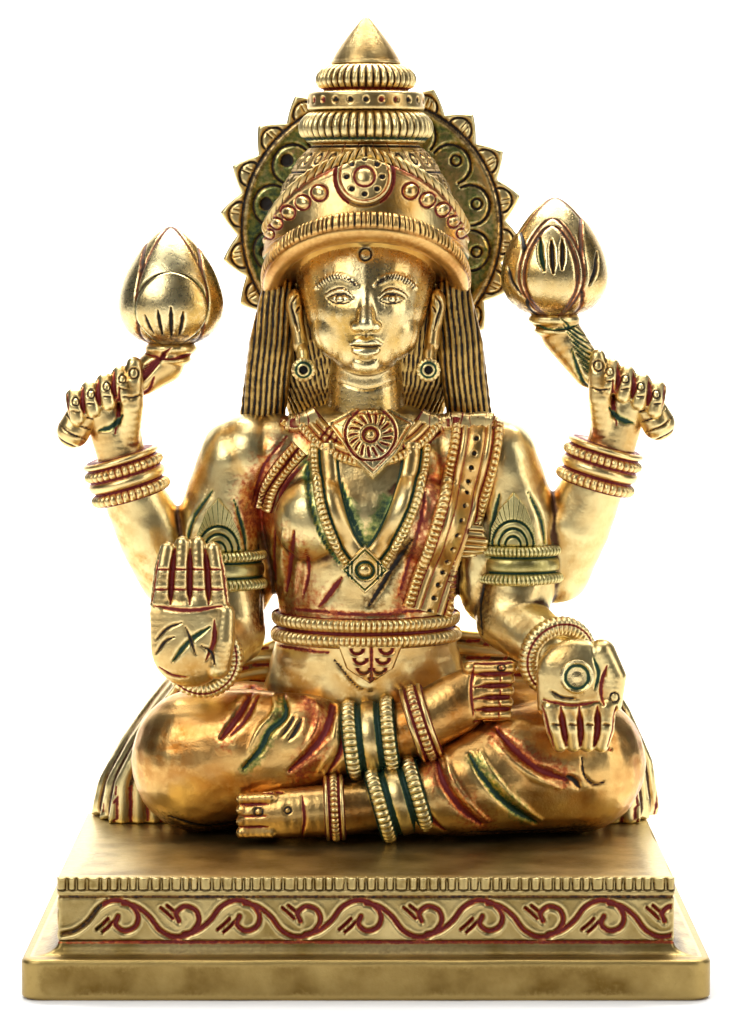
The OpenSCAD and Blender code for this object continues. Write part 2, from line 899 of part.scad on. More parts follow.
module on_dome(t)
    difference() {
        intersection() {
            dome_form(t);
            above_brow();
            translate([0, crown_y, 0]) through_front() children();
        }
        dome_form();
    }

module crown_diadem() color("gold") on_seat() on_dome(1.4) diadem_outline(24.4, 10);

module crown_arch_cord() color("gold") on_seat() on_dome(2) diadem_outline(28, 24.5);

// A turned disc with a rounded rim, bored for the crown's pin.
module tier(i) on_seat()
    translate([0, crown_y, tier_z[i]]) difference() {
        rotate_extrude() {
            square([tier_r[i] - tier_h[i] / 2, tier_h[i] - eps]);
            translate([tier_r[i] - tier_h[i] / 2, tier_h[i] / 2]) circle(tier_h[i] / 2 - eps);
        }
        translate([0, 0, -1]) cylinder(r = crown_pin_r + clearance, h = tier_h[i] + 2);
    }

module crown_tier_lower() color("seagreen") tier(0);

module crown_tier_middle() color("khaki") on_seat()
    translate([0, crown_y, tier_z[0] + tier_h[0]]) difference() {
        cylinder(r = tier_r[1], h = tier_z[2] - tier_z[0] - tier_h[0]);
        translate([0, 0, -1]) cylinder(r = crown_pin_r + clearance, h = 20);
    }

module crown_tier_upper() color("indianred") tier(2);

module crown_finial() color("khaki") on_seat()
    translate([0, crown_y, finial_z]) {
        tip = figure_nominal - finial_z;
        rotate_extrude() polygon(concat(
            [[0, 0]], [for (t = [0 : 0.1 : 0.95]) [finial_r * (1 - pow(t, 1.5)), tip * t]], [[0, tip]]
        ));
        translate([0, 0, pin_bottom_z - finial_z])
            cylinder(r = crown_pin_r, h = finial_z - pin_bottom_z + eps);
    }

// ---------- halo ----------

module halo_outline() {
    valley = halo_r * 0.875;
    shoulder_r = halo_r * 0.955;
    step = 360 / halo_petals;
    polygon([
        for (i = [0 : halo_petals - 1], part = [0 : 3])
            let (a = step * (i + part / 4 - 0.17), r = [valley, shoulder_r, halo_r, shoulder_r][part])
                [r * cos(a), r * sin(a)]
    ]);
}

module halo() color("olivedrab") on_seat() {
    translate([halo_x, halo_y + halo_t, halo_z]) rotate([90, 0, 0]) linear_extrude(halo_t) halo_outline();
    translate([0, stud_y, stud_z]) rotate([-90, 0, 0]) cylinder(r = halo_stud_r, h = halo_y - stud_y + eps);
}

plinth_foot();
plinth_block();
reeded_moulding();
back_drape();
torso();
right_leg();
left_leg();
right_foot();
left_foot();
right_shin_rings();
right_foot_anklet();
left_shin_rings();
left_foot_anklet();
waist_belt();
belt_pendant();
collar_necklace();
collar_pendant();
long_necklace();
necklace_clasp();
shoulder_sash();
sleeve_trim();
right_arm();
left_arm();
right_armlet();
left_armlet();
rear_right_arm();
rear_left_arm();
rear_right_bangle();
rear_left_bangle();
rear_right_hand();
rear_left_hand();
right_lotus_stem();
left_lotus_stem();
right_lotus_bud();
left_lotus_bud();
right_hand();
left_hand();
right_bangle();
left_bangle();
palm_coin();
head();
right_ear();
left_ear();
right_earring();
left_earring();
back_hair();
right_hair();
left_hair();
crown_brow_band();
crown_dome();
crown_diadem();
crown_arch_cord();
crown_tier_lower();
crown_tier_middle();
crown_tier_upper();
crown_finial();
halo();
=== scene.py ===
"""The looks of a cast and chased brass statuette: a seated, four-armed goddess on a two-step plinth.

The figure's pieces are modelled in its own millimetres, with the seat's middle as the origin, and
are carried into the frame at the end. Right and left are the figure's own, so its right is on -X.
"""
import math

import bpy
import numpy as np
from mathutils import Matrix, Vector
from mathutils.bvhtree import BVHTree


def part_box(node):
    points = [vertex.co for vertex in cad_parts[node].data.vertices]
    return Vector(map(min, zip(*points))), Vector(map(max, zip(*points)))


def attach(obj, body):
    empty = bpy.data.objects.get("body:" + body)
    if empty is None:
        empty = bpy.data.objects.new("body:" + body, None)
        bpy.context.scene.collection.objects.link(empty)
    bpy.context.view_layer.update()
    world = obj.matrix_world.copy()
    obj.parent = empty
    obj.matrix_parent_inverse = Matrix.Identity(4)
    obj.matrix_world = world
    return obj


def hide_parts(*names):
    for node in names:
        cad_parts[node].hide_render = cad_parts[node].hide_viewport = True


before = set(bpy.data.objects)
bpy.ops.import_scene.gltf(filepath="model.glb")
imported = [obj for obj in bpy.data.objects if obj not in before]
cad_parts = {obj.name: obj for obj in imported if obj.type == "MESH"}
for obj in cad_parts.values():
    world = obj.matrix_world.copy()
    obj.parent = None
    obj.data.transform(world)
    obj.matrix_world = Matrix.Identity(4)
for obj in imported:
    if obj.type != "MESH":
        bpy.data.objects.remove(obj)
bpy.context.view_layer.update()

# ---------- sizes ----------

MM = 0.001
FIGURE_HEIGHT = 174.5  # seat to tip, in the figure's own millimetres
CROWN_Y = 3.0  # the crown's axis, in front of which the face lies
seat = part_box("plinth_block")[1].z
figure_mm = (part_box("crown_finial")[1].z - seat) / FIGURE_HEIGHT
finial_low, finial_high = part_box("crown_finial")
figure_axis = Vector((0, (finial_low.y + finial_high.y) / 2 - CROWN_Y * figure_mm, seat))
foot_high = Vector(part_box("plinth_foot")[1]) / MM
block_high = Vector(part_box("plinth_block")[1]) / MM

# ---------- working on a mesh ----------


def add(kind, name, **size):
    """Adds a primitive as the start of a piece."""
    bpy.ops.object.select_all(action="DESELECT")
    getattr(bpy.ops.mesh, f"primitive_{kind}_add")(**size)
    piece = bpy.context.object
    piece.name = piece.data.name = name
    return piece


def modify(piece, kind, **settings):
    """Adds a modifier and applies it."""
    modifier = piece.modifiers.new(kind.title(), kind)
    for setting, value in settings.items():
        setattr(modifier, setting, value)
    bpy.context.view_layer.objects.active = piece
    bpy.ops.object.modifier_apply(modifier=modifier.name)


def edit(piece, *steps):
    """Runs edit-mode operators on the whole piece. A step is an operator's name and its settings."""
    bpy.ops.object.select_all(action="DESELECT")
    piece.select_set(True)
    bpy.context.view_layer.objects.active = piece
    bpy.ops.object.mode_set(mode="EDIT")
    bpy.ops.mesh.select_all(action="SELECT")
    for operator, settings in steps:
        getattr(bpy.ops.mesh, operator)(**settings)
    bpy.ops.object.mode_set(mode="OBJECT")


def points(piece):
    flat = np.empty(len(piece.data.vertices) * 3, np.float32)
    piece.data.vertices.foreach_get("co", flat)
    return flat.reshape(-1, 3).astype(float)


def put(piece, places):
    piece.data.vertices.foreach_set("co", np.asarray(places, np.float32).ravel())
    piece.data.update()


def normals(piece):
    flat = np.empty(len(piece.data.vertices) * 3, np.float32)
    piece.data.vertices.foreach_get("normal", flat)
    return flat.reshape(-1, 3).astype(float)


def coat(piece, colour, amount):
    """Brushes a lacquer on: each vertex keeps the thickest coat that it has had."""
    layer = piece.data.attributes.get(colour) or piece.data.attributes.new(colour, "FLOAT", "POINT")
    held = np.empty(len(piece.data.vertices), np.float32)
    layer.data.foreach_get("value", held)
    layer.data.foreach_set("value", np.maximum(held, np.clip(amount, 0, 1)).astype(np.float32))


def smooth_step(low, high, value):
    t = np.clip((value - low) / (high - low), 0, 1)
    return t * t * (3 - 2 * t)


def bump(value, middle, half):
    """A rounded ridge, 1 at its middle and 0 at and past its edges."""
    return np.sqrt(np.clip(1 - ((value - middle) / half) ** 2, 0, 1))


def soft(distance, width):
    """1 where the distance is 0, falling off smoothly over the width."""
    return np.exp(-((distance / width) ** 2))


def reeds(place, pitch, sharp=0.55):
    """A row of half-round reeds: 1 on each crest, 0 in each gap."""
    return np.abs(np.sin(math.pi * place / pitch)) ** sharp


def curve(knots, steps=8):
    """Points along a smooth line through the knots."""
    knots = np.array(knots, float)
    if len(knots) < 3:
        return knots
    ends = np.vstack([2 * knots[0] - knots[1], knots, 2 * knots[-1] - knots[-2]])
    line = []
    for a, b, c, d in zip(ends, ends[1:], ends[2:], ends[3:]):
        for t in np.linspace(0, 1, steps, endpoint=False):
            line.append((2 * b + (c - a) * t + (2 * a - 5 * b + 4 * c - d) * t**2
                         + (3 * b - a - 3 * c + d) * t**3) / 2)
    return np.array(line + [knots[-1]])


def ring_of(x, z, radius, count=14):
    """The knots of a small engraved circle."""
    turns = np.linspace(0, 2 * math.pi, count)
    return [(x + radius * math.cos(a), z + radius * math.sin(a)) for a in turns]


def along(path, x, z):
    """Each point's distance along a path and its distance to one side of it."""
    nearest = np.full(len(x), 1e9)
    run = np.zeros(len(x))
    aside = np.zeros(len(x))
    start = 0.0
    for (ax, az), (bx, bz) in zip(path, path[1:]):
        dx, dz = bx - ax, bz - az
        length = math.hypot(dx, dz)
        if length == 0:
            continue
        t = np.clip(((x - ax) * dx + (z - az) * dz) / length**2, 0, 1)
        gap_x, gap_z = x - ax - t * dx, z - az - t * dz
        gap = np.hypot(gap_x, gap_z)
        closer = gap < nearest
        nearest[closer] = gap[closer]
        run[closer] = start + t[closer] * length
        aside[closer] = (gap * np.sign(gap_x * dz - gap_z * dx))[closer]
        start += length
    return run, aside


def engrave(piece, strokes, facing=0.15):
    """Chases lines into the piece's front. A stroke is its lacquer, width, depth and knots.
    A depth below nothing raises a ridge instead."""
    places, out = points(piece), normals(piece)
    front = smooth_step(facing - 0.15, facing + 0.25, -out[:, 1])
    x, z = places[:, 0].copy(), places[:, 2].copy()
    for lacquer, width, depth, knots in strokes:
        path = curve(knots)
        run, aside = along(path, x, z)
        length = np.hypot(*np.diff(path, axis=0).T).sum()
        closed = np.hypot(*(path[0] - path[-1])) < 0.01
        from_end = np.minimum(run, length - run) / max(length, 0.01)
        taper = 1.0 if closed else 0.4 + 0.6 * smooth_step(0, 0.3, from_end)
        places -= out * (depth * front * soft(aside, (width * 0.5 * taper)))[:, None]
        if lacquer:
            coat(piece, lacquer, front * soft(aside, (width * 0.5 * taper)))
    put(piece, places)


def stain(piece, stains):
    """Tints the front. A stain is its lacquer, width, strength and knots."""
    places, out = points(piece), normals(piece)
    front = smooth_step(-0.2, 0.3, -out[:, 1])
    for lacquer, width, strength, knots in stains:
        _, aside = along(curve(knots), places[:, 0], places[:, 2])
        coat(piece, lacquer, front * strength * soft(aside, (width * 0.5)))


def uneven(piece, depth, size):
    """The slow hills and hollows that a hand-finished casting keeps."""
    places, out = points(piece), normals(piece)
    wave = np.zeros(len(places))
    for i in range(7):
        toward = np.array([math.sin(2.4 * i + 1), math.cos(3.7 * i), math.sin(5.1 * i + 2)])
        wave += np.sin(places @ toward * (2 * math.pi / size) * (0.7 + 0.17 * i) + 1.9 * i)
    put(piece, places + out * (wave * depth / 4)[:, None])


def neighbours_mean(values, ends, count):
    """For each vertex, the mean of a value over the vertices that share an edge with it."""
    total = np.bincount(ends[:, 0], values[ends[:, 1]], count)
    total += np.bincount(ends[:, 1], values[ends[:, 0]], count)
    links = np.bincount(ends.ravel(), minlength=count)
    return total / np.maximum(links, 1)


def note_hollows(piece, rounds):
    """Records how deep each point lies below the surface round it, where patina gathers."""
    places, out = points(piece), normals(piece)
    flat = np.empty(len(piece.data.edges) * 2, np.int32)
    piece.data.edges.foreach_get("vertices", flat)
    ends = flat.reshape(-1, 2)
    level = places.copy()
    for _ in range(rounds):
        for axis in range(3):
            level[:, axis] = neighbours_mean(level[:, axis], ends, len(places))
    depth = ((level - places) * out).sum(1)
    layer = piece.data.attributes.new("hollow", "FLOAT", "POINT")
    layer.data.foreach_set("value", np.clip(0.5 + depth * 1.6, 0, 1).astype(np.float32))


def finish(piece, slot, metal, *nodes, on_plinth=False, rounds=14, corners=180):
    """Takes a piece into the frame, gives it its metal and hides the model's parts that it stands for."""
    note_hollows(piece, rounds)
    for lacquer in ("red", "green", "dark"):
        coat(piece, lacquer, 0)
    places = points(piece)
    if on_plinth:
        put(piece, places * MM)
    else:
        put(piece, places * figure_mm + np.array(figure_axis))
    bpy.ops.object.select_all(action="DESELECT")
    piece.select_set(True)
    bpy.context.view_layer.objects.active = piece
    if corners < 180:
        bpy.ops.object.shade_smooth_by_angle(angle=math.radians(corners))
    else:
        bpy.ops.object.shade_smooth()
    piece.data.materials.clear()
    piece.data.materials.append(metal)
    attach(piece, "root")
    if nodes:
        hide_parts(*nodes)
    return piece


# ---------- ways of making a form ----------


def cluster(name, balls, voxel, rounds):
    """Balls of clay pressed into one form. A ball is its centre and its half-widths."""
    ball = add("uv_sphere", name, segments=28, ring_count=16, radius=1)
    unit = points(ball)
    faces = [tuple(face.vertices) for face in ball.data.polygons]
    bpy.data.objects.remove(ball)
    places = [unit * np.array(half) + np.array(centre) for centre, half in balls]
    shells = [tuple(i + len(unit) * n for i in face) for n in range(len(places)) for face in faces]
    mesh = bpy.data.meshes.new(name)
    mesh.from_pydata(np.vstack(places).tolist(), [], shells)
    piece = bpy.data.objects.new(name, mesh)
    bpy.context.scene.collection.objects.link(piece)
    modify(piece, "REMESH", mode="VOXEL", voxel_size=voxel)
    if rounds:
        modify(piece, "SMOOTH", factor=0.5, iterations=rounds)
    return piece


def limb(stations, steps=7):
    """Balls along a limb, from station to station. A station is a centre and its half-widths."""
    balls = []
    for (a, half_a), (b, half_b) in zip(stations, stations[1:]):
        for t in np.linspace(0, 1, steps):
            balls.append((np.array(a) * (1 - t) + np.array(b) * t,
                          np.array(half_a) * (1 - t) + np.array(half_b) * t))
    return balls


def finger(knots, steps=6):
    """Balls along a finger. A knot is a place and a radius."""
    return limb([((x, y, z), (r, r, r)) for x, y, z, r in knots], steps)


def both_sides(centre, half):
    return [((side * centre[0], centre[1], centre[2]), half) for side in (-1, 1)]


def turned(name, rule, segments=160, rings=80):
    """A closed form about an upright axis, from a ball. The rule gives the radius, the height and
    the lacquers for an angle, 0 at the front, and a way from 0 at the bottom to 1 at the top."""
    piece = add("uv_sphere", name, segments=segments, ring_count=rings, radius=1)
    unit = points(piece)
    angle = np.arctan2(unit[:, 0], -unit[:, 1])
    way = 1 - np.arccos(np.clip(unit[:, 2], -1, 1)) / math.pi
    radius, height, lacquers = rule(angle, way)
    pole = (way > 1e-4) & (way < 1 - 1e-4)
    radius = radius * pole
    put(piece, np.stack([radius * np.sin(angle), -radius * np.cos(angle), height], 1))
    for lacquer, amount in lacquers.items():
        coat(piece, lacquer, amount)
    return piece


def move(piece, x, y, z):
    put(piece, points(piece) + np.array([x, y, z]))
    return piece


def section(way, outline):
    """The radius and height at a way along a turned outline of (radius, height) knots."""
    outline = np.array(outline, float)
    runs = np.concatenate([[0], np.cumsum(np.hypot(*np.diff(outline, axis=0).T))])
    at = way * runs[-1]
    return np.interp(at, runs, outline[:, 0]), np.interp(at, runs, outline[:, 1])


def arm_ring(name, at, toward, radius, height, ridges, segments=240, rings=44, depth=3.0):
    """A ring about a limb, from a torus. A ridge is its place along the ring's height, its half-width,
    its swell, its number of reeds (0 for a plain one) and the lacquer in its gaps."""
    piece = add("torus", name, major_segments=segments, minor_segments=rings,
                major_radius=3, minor_radius=1)
    unit = points(piece)
    angle = np.arctan2(unit[:, 0], -unit[:, 1])
    turn = np.arctan2(unit[:, 2], np.hypot(unit[:, 0], unit[:, 1]) - 3)
    outer = smooth_step(math.pi * 0.86, math.pi * 0.72, np.abs(turn))
    rise = np.clip(turn / (math.pi * 0.72), -1, 1) * height / 2
    rise = np.where(np.abs(turn) > math.pi * 0.86, np.sin(turn) / math.sin(math.pi * 0.86) * height / 2, rise)
    out = np.zeros(len(unit))
    for place, half, swell, count, lacquer in ridges:
        shape = bump(rise, place, half)
        if count:
            row = reeds(angle, 2 * math.pi / count)
            shape = shape * (0.45 + 0.55 * row)
            coat(piece, lacquer or "dark", (row < 0.45) * (np.abs(rise - place) < half) * outer * 0.7)
        out = np.maximum(out, swell * shape)
        if lacquer:
            edge = np.abs(np.abs(rise - place) - half) < half * 0.24
            coat(piece, lacquer, edge * outer * 0.9)
    reach = (radius - depth) + outer * depth + out * outer
    axis = Vector(toward).normalized()
    across = Vector((0, -1, 0)) - axis * Vector((0, -1, 0)).dot(axis)
    if across.length < 0.3:
        across = Vector((0, 0, 1)) - axis * axis.z
    across.normalize()
    side = axis.cross(across)
    put(piece, np.array(at) + np.outer(rise, axis)
        + np.outer(reach * np.cos(angle), across) + np.outer(reach * np.sin(angle), side))
    edit(piece, ("normals_make_consistent", {"inside": False}))
    return piece


def tree_of(piece):
    """A copy of the surface for laying ornaments on."""
    return BVHTree.FromPolygons([v.co.copy() for v in piece.data.vertices],
                                [tuple(face.vertices) for face in piece.data.polygons])


def sheet(name, columns, rows):
    """A flat sheet, with each point's way along it and across it, from 0 to 1."""
    piece = add("grid", name, x_subdivisions=columns, y_subdivisions=rows, size=2)
    unit = points(piece)
    return piece, (unit[:, 0] + 1) / 2, (unit[:, 1] + 1) / 2


def back(piece, thickness):
    """Turns a laid sheet's face outwards and gives it a back."""
    edit(piece, ("remove_doubles", {"threshold": 0.004}), ("normals_make_consistent", {"inside": False}))
    if normals(piece)[:, 1].mean() > 0:
        edit(piece, ("flip_normals", {}))
    modify(piece, "SOLIDIFY", thickness=thickness, offset=-1)
    return piece


def raised(piece, base, out, height, lacquers, thickness=1.2):
    """Backs a sheet that lies on a form, then raises its relief out of the form."""
    put(piece, base)
    if (normals(piece) * out).sum() < 0:
        edit(piece, ("flip_normals", {}))
    for lacquer, amount in lacquers.items():
        coat(piece, lacquer, amount)
    modify(piece, "SOLIDIFY", thickness=thickness, offset=-1)
    places = points(piece)
    count = len(base)
    first = np.allclose(places[:count], base, atol=1e-3)
    front = slice(0, count) if first else slice(count, 2 * count)
    places[front] += out * height[:, None]
    put(piece, places)
    return piece


def laid(piece, target, x, z, height, lacquers, thickness=1.2, taut=0):
    """Lays a sheet on a form from the front, then raises its relief out of it. Where the sheet
    reaches past the form's outline it is drawn in to the nearest point of the form. A taut sheet
    spans the hollows under it, as a stretched cloth does."""
    base = np.empty((len(x), 3))
    for i in range(len(x)):
        spot, _, _, _ = target.ray_cast((x[i], -70, z[i]), (0, 1, 0))
        if spot is None:
            spot, _, _, _ = target.find_nearest((x[i], -4, z[i]))
        base[i] = spot
    flat = np.empty(len(piece.data.edges) * 2, np.int32)
    piece.data.edges.foreach_get("vertices", flat)
    ends = flat.reshape(-1, 2)
    drawn = base - np.stack([x, base[:, 1], z], 1)
    form = base[:, 1].copy()
    for _ in range(taut):
        base[:, 1] = np.minimum(form, neighbours_mean(base[:, 1], ends, len(x)))
    for _ in range(12):
        base[:, 1] = neighbours_mean(base[:, 1], ends, len(x))
    for _ in range(6):
        for axis in (0, 2):
            drawn[:, axis] = neighbours_mean(drawn[:, axis], ends, len(x))
    base[:, 0], base[:, 2] = x + drawn[:, 0], z + drawn[:, 2]
    put(piece, base)
    out = normals(piece)
    out *= -np.sign(out[:, 1:2] + 1e-9)
    for _ in range(6):
        out = np.stack([neighbours_mean(out[:, axis], ends, len(x)) for axis in range(3)], 1)
    out /= np.maximum(np.linalg.norm(out, axis=1, keepdims=True), 0.1)
    return raised(piece, base, out, height, lacquers, thickness)


def ribbon(name, target, knots, width, relief, columns=420, rows=36, taut=0):
    """A band laid along a line. The relief gives a height and lacquers for a run and a place across."""
    piece, u, v = sheet(name, columns, rows)
    path = curve(knots, 12)
    runs = np.concatenate([[0], np.cumsum(np.hypot(*np.diff(path, axis=0).T))])
    run = u * runs[-1]
    x, z = np.interp(run, runs, path[:, 0]), np.interp(run, runs, path[:, 1])
    step = 0.8
    ahead = np.stack([np.interp(run + step, runs, path[:, i]) - np.interp(run - step, runs, path[:, i])
                      for i in (0, 1)])
    ahead /= np.hypot(*ahead)
    aside = (v - 0.5) * width
    height, lacquers = relief(run, aside)
    height = np.where(np.abs(v - 0.5) > 0.499, -0.4, height)
    return laid(piece, target, x + ahead[1] * aside, z - ahead[0] * aside, height, lacquers, taut=taut)


def plaque(name, target, centre, outline, relief, cells=150, thickness=1.2):
    """A small plate laid on a form. Its outline is a rule from an angle, 0 at the top, to a radius."""
    piece, u, v = sheet(name, cells, cells)
    u, v = 2 * u - 1, 2 * v - 1
    way = np.maximum(np.abs(u), np.abs(v))
    angle = np.arctan2(u, v)
    reach = outline(angle) * way
    x, z = centre[0] + np.sin(angle) * reach, centre[1] + np.cos(angle) * reach
    height, lacquers = relief(x - centre[0], z - centre[1], way)
    height = np.where(way > 0.995, -0.4, height)
    return laid(piece, target, x, z, height, lacquers, thickness)


def kite(knots):
    """The radius rule of an outline through corners, given clockwise from the top about its centre."""
    corners = [np.array(k, float) for k in knots]

    def radius(angle):
        way = np.stack([np.sin(angle), np.cos(angle)])
        reach = np.zeros(len(angle))
        for a, b in zip(corners, corners[1:] + corners[:1]):
            edge = b - a
            cross = way[0] * edge[1] - way[1] * edge[0]
            cross = np.where(np.abs(cross) < 1e-9, 1e-9, cross)
            r = (a[0] * edge[1] - a[1] * edge[0]) / cross
            t = (a[0] * way[1] - a[1] * way[0]) / cross
            reach = np.where((r > 0) & (t >= -0.001) & (t <= 1.001), np.maximum(reach, r), reach)
        return reach

    return radius


def wrap(name, target, middle, base, width, relief, columns=420, rows=30):
    """A band round a form. The relief gives a height and lacquers for an angle and a place up it."""
    piece, u, v = sheet(name, columns, rows)
    angle = (u - 0.5) * 2 * math.pi
    z = base + (v - 0.5) * width
    height, lacquers = relief(angle, z - base)
    height = np.where(np.abs(v - 0.5) > 0.499, -0.4, height)
    places = np.empty((len(u), 3))
    for i in range(len(u)):
        way = Vector((math.sin(angle[i]), -math.cos(angle[i]), 0))
        core = Vector((middle[0], middle[1], z[i]))
        spot, _, _, _ = target.ray_cast(core + way * 60, -way)
        places[i] = spot or core + way * 8
    out = np.stack([np.sin(angle), -np.cos(angle), np.zeros(len(u))], 1)
    return raised(piece, places, out, height, lacquers)

# ---------- metals ----------


def shade(code):
    """The linear colour of an sRGB hex value."""
    parts = [int(code[i:i + 2], 16) / 255 for i in (0, 2, 4)]
    return tuple(c / 12.92 if c <= 0.04045 else ((c + 0.055) / 1.055) ** 2.4 for c in parts) + (1.0,)


def add_node(tree, kind, inputs=None, **settings):
    """Adds a node with its settings. An input is a value, or a socket to link from."""
    node = tree.nodes.new("ShaderNode" + kind)
    for setting, value in settings.items():
        setattr(node, setting, value)
    for socket, value in (inputs or {}).items():
        if isinstance(value, bpy.types.NodeSocket):
            tree.links.new(value, node.inputs[socket])
        else:
            node.inputs[socket].default_value = value
    return node


# The colours of each lacquer where it lies thick in the chased lines. The dark one is also painted shade in a
# few places: in the reeded moulding, at the joins of the arms and along the bottoms of the legs.
# The first is the thin edge of the coat, through which the brass still shines.
LACQUERS = {"red": ("B5451F", "6A0F0C"), "green": ("5C7A34", "0B3020"), "dark": ("6E4A1E", "160D07")}
GRAIN_MM = 0.9  # the sand's grain left in the hollows of the casting
CLOUD_MM = 11.0  # patches of uneven polish
PIT_MM = 0.45


def brass(name, bright, body, hollow, shine, patina, fill=0.5):
    """Cast yellow brass, filed and buffed on what stands out, with patina left in what lies deep.
    It gives hard, warm highlights on the ridges and a dull, darker tone in the hollows."""
    metal = bpy.data.materials.new(name)
    metal.use_nodes = True
    tree = metal.node_tree
    tree.nodes.clear()
    place = add_node(tree, "TexCoord").outputs["Object"]

    def noise(size_mm, detail):
        inputs = {"Vector": place, "Scale": 1 / (size_mm * MM), "Detail": detail}
        return add_node(tree, "TexNoise", inputs).outputs["Fac"]

    def painted(layer):
        return add_node(tree, "Attribute", attribute_name=layer).outputs["Fac"]

    def math_node(operation, *values):
        return add_node(tree, "Math", dict(enumerate(values)), operation=operation).outputs[0]

    def stretch(value, low, high, top=1.0):
        inputs = {"Value": value, "From Min": low, "From Max": high, "To Max": top}
        return add_node(tree, "MapRange", inputs, interpolation_type="SMOOTHSTEP").outputs[0]

    def blend(share, under, over):
        return add_node(tree, "Mix", {0: share, 6: under, 7: over}, data_type="RGBA").outputs[2]

    deep = painted("hollow")
    cloud = noise(CLOUD_MM, 4.0)
    grain = noise(GRAIN_MM, 5.0)
    pits = noise(PIT_MM, 2.0)

    # Patina: deep places, more of it where the polish was uneven.
    uneven_depth = math_node("MULTIPLY_ADD", cloud, 0.34, deep)
    grained = math_node("MULTIPLY_ADD", grain, 0.22, uneven_depth)
    grime = stretch(grained, 1.03 - patina * 0.2, 1.34 - patina * 0.2)
    ridge = stretch(grained, 0.74, 0.5)
    patch = add_node(tree, "MapRange", {"Value": cloud, "From Min": 0.35, "From Max": 0.68}).outputs[0]

    toned = blend(patch, shade(body), shade(bright))
    polished = blend(ridge, toned, shade(bright))
    colour = blend(grime, polished, shade(hollow))

    covered = math_node("MULTIPLY", grime, fill)
    for lacquer, (thin, thick) in LACQUERS.items():
        ragged = math_node("MULTIPLY_ADD", grain, 0.8, painted(lacquer))
        worn = math_node("MULTIPLY_ADD", cloud, 0.5, ragged)
        fringe = stretch(worn, 0.85, 1.25, 0.8)
        mask = stretch(worn, 1.1, 1.45)
        colour = blend(fringe, colour, shade(thin))
        colour = blend(mask, colour, shade(thick))
        covered = math_node("MAXIMUM", covered, mask)

    metallic = add_node(tree, "MapRange", {"Value": covered, "To Min": 1.0, "To Max": 0.35}).outputs[0]
    dull = math_node("MULTIPLY_ADD", covered, 0.2, shine)
    rough = math_node("MULTIPLY_ADD", grain, 0.16, dull)
    skin = math_node("MULTIPLY_ADD", pits, 0.5, grain)
    relief = add_node(tree, "Bump", {"Height": skin, "Strength": 0.28, "Distance": 0.16 * MM}).outputs[0]
    surface = add_node(tree, "BsdfPrincipled", {"Base Color": colour, "Metallic": metallic,
                                                "Roughness": rough, "Normal": relief})
    add_node(tree, "OutputMaterial", {"Surface": surface.outputs[0]})
    return metal


antique_brass = brass("antique_brass", "ECD596", "BC8C45", "4A2A10", 0.24, 0.9)
polished_brass = brass("buffed_brass", "F2E0AA", "CDA456", "42290E", 0.2, 0.6)
coppery_brass = brass("copper_toned_brass", "E4BC74", "AE6E2C", "5E220C", 0.24, 1.0)
green_brass = brass("green_lacquered_brass", "DACB8C", "8E8040", "12351F", 0.27, 1.2, 0.8)
red_brass = brass("red_lacquered_brass", "EBCF8E", "BE8A40", "741A10", 0.24, 1.1, 0.7)
hair_brass = brass("darkened_brass", "C8A660", "6A4A22", "1A1109", 0.3, 1.5, 0.9)
plinth_brass = brass("dull_plinth_brass", "C6B078", "8A7340", "442C12", 0.3, 0.9)
worn_brass = brass("worn_foot_brass", "AF955A", "745A2A", "2E1E0C", 0.35, 1.1)

# ---------- plinth ----------

SHAFT = 62.0  # half the width of the block's face
SHAFT_DEPTH = 40.0  # half its depth
CAVITY = (58.0, 36.0)  # half the hollow's width and depth
FOOT_TOP = foot_high.z
BLOCK_TOP = block_high.z


def stepped_block(name, rows, corner, front=500, rear=250, side=160):
    """A hollow oblong block. A row is its half-width, its half-depth and its height."""
    rows = np.array(rows, float)
    corners = np.array([(-1, -1), (1, -1), (1, 1), (-1, 1)], float)
    turns = []
    for n, a, b in zip((front, side, rear, side), corners, np.roll(corners, -1, axis=0)):
        t = np.linspace(0, 1, n, endpoint=False)[:, None]
        turns.append(a * (1 - t) + b * t)
    round_way = np.vstack(turns + [corners[:1]])
    piece = add("grid", name, x_subdivisions=len(round_way) - 1, y_subdivisions=len(rows) - 1, size=2)
    unit = points(piece)
    column = np.rint((unit[:, 0] + 1) / 2 * (len(round_way) - 1)).astype(int)
    row = np.rint((unit[:, 1] + 1) / 2 * (len(rows) - 1)).astype(int)
    half = rows[row, :2]
    flat = round_way[column] * half
    past = np.clip(np.abs(flat) - (half - corner), 0, None)
    both = (past > 0).all(1)
    length = np.maximum(np.hypot(past[:, 0], past[:, 1]), 1e-9)
    scaled = past * (past.max(1) / length)[:, None]
    rounded = np.sign(flat) * (half - corner + scaled)
    flat = np.where(both[:, None], rounded, flat)
    put(piece, np.column_stack([flat, rows[row, 2]]))
    edit(piece, ("remove_doubles", {"threshold": 0.0005}), ("normals_make_consistent", {"inside": False}))
    return piece


def rows_between(a, b, count):
    return [tuple(np.array(a) * (1 - t) + np.array(b) * t) for t in np.linspace(0, 1, count, endpoint=False)]


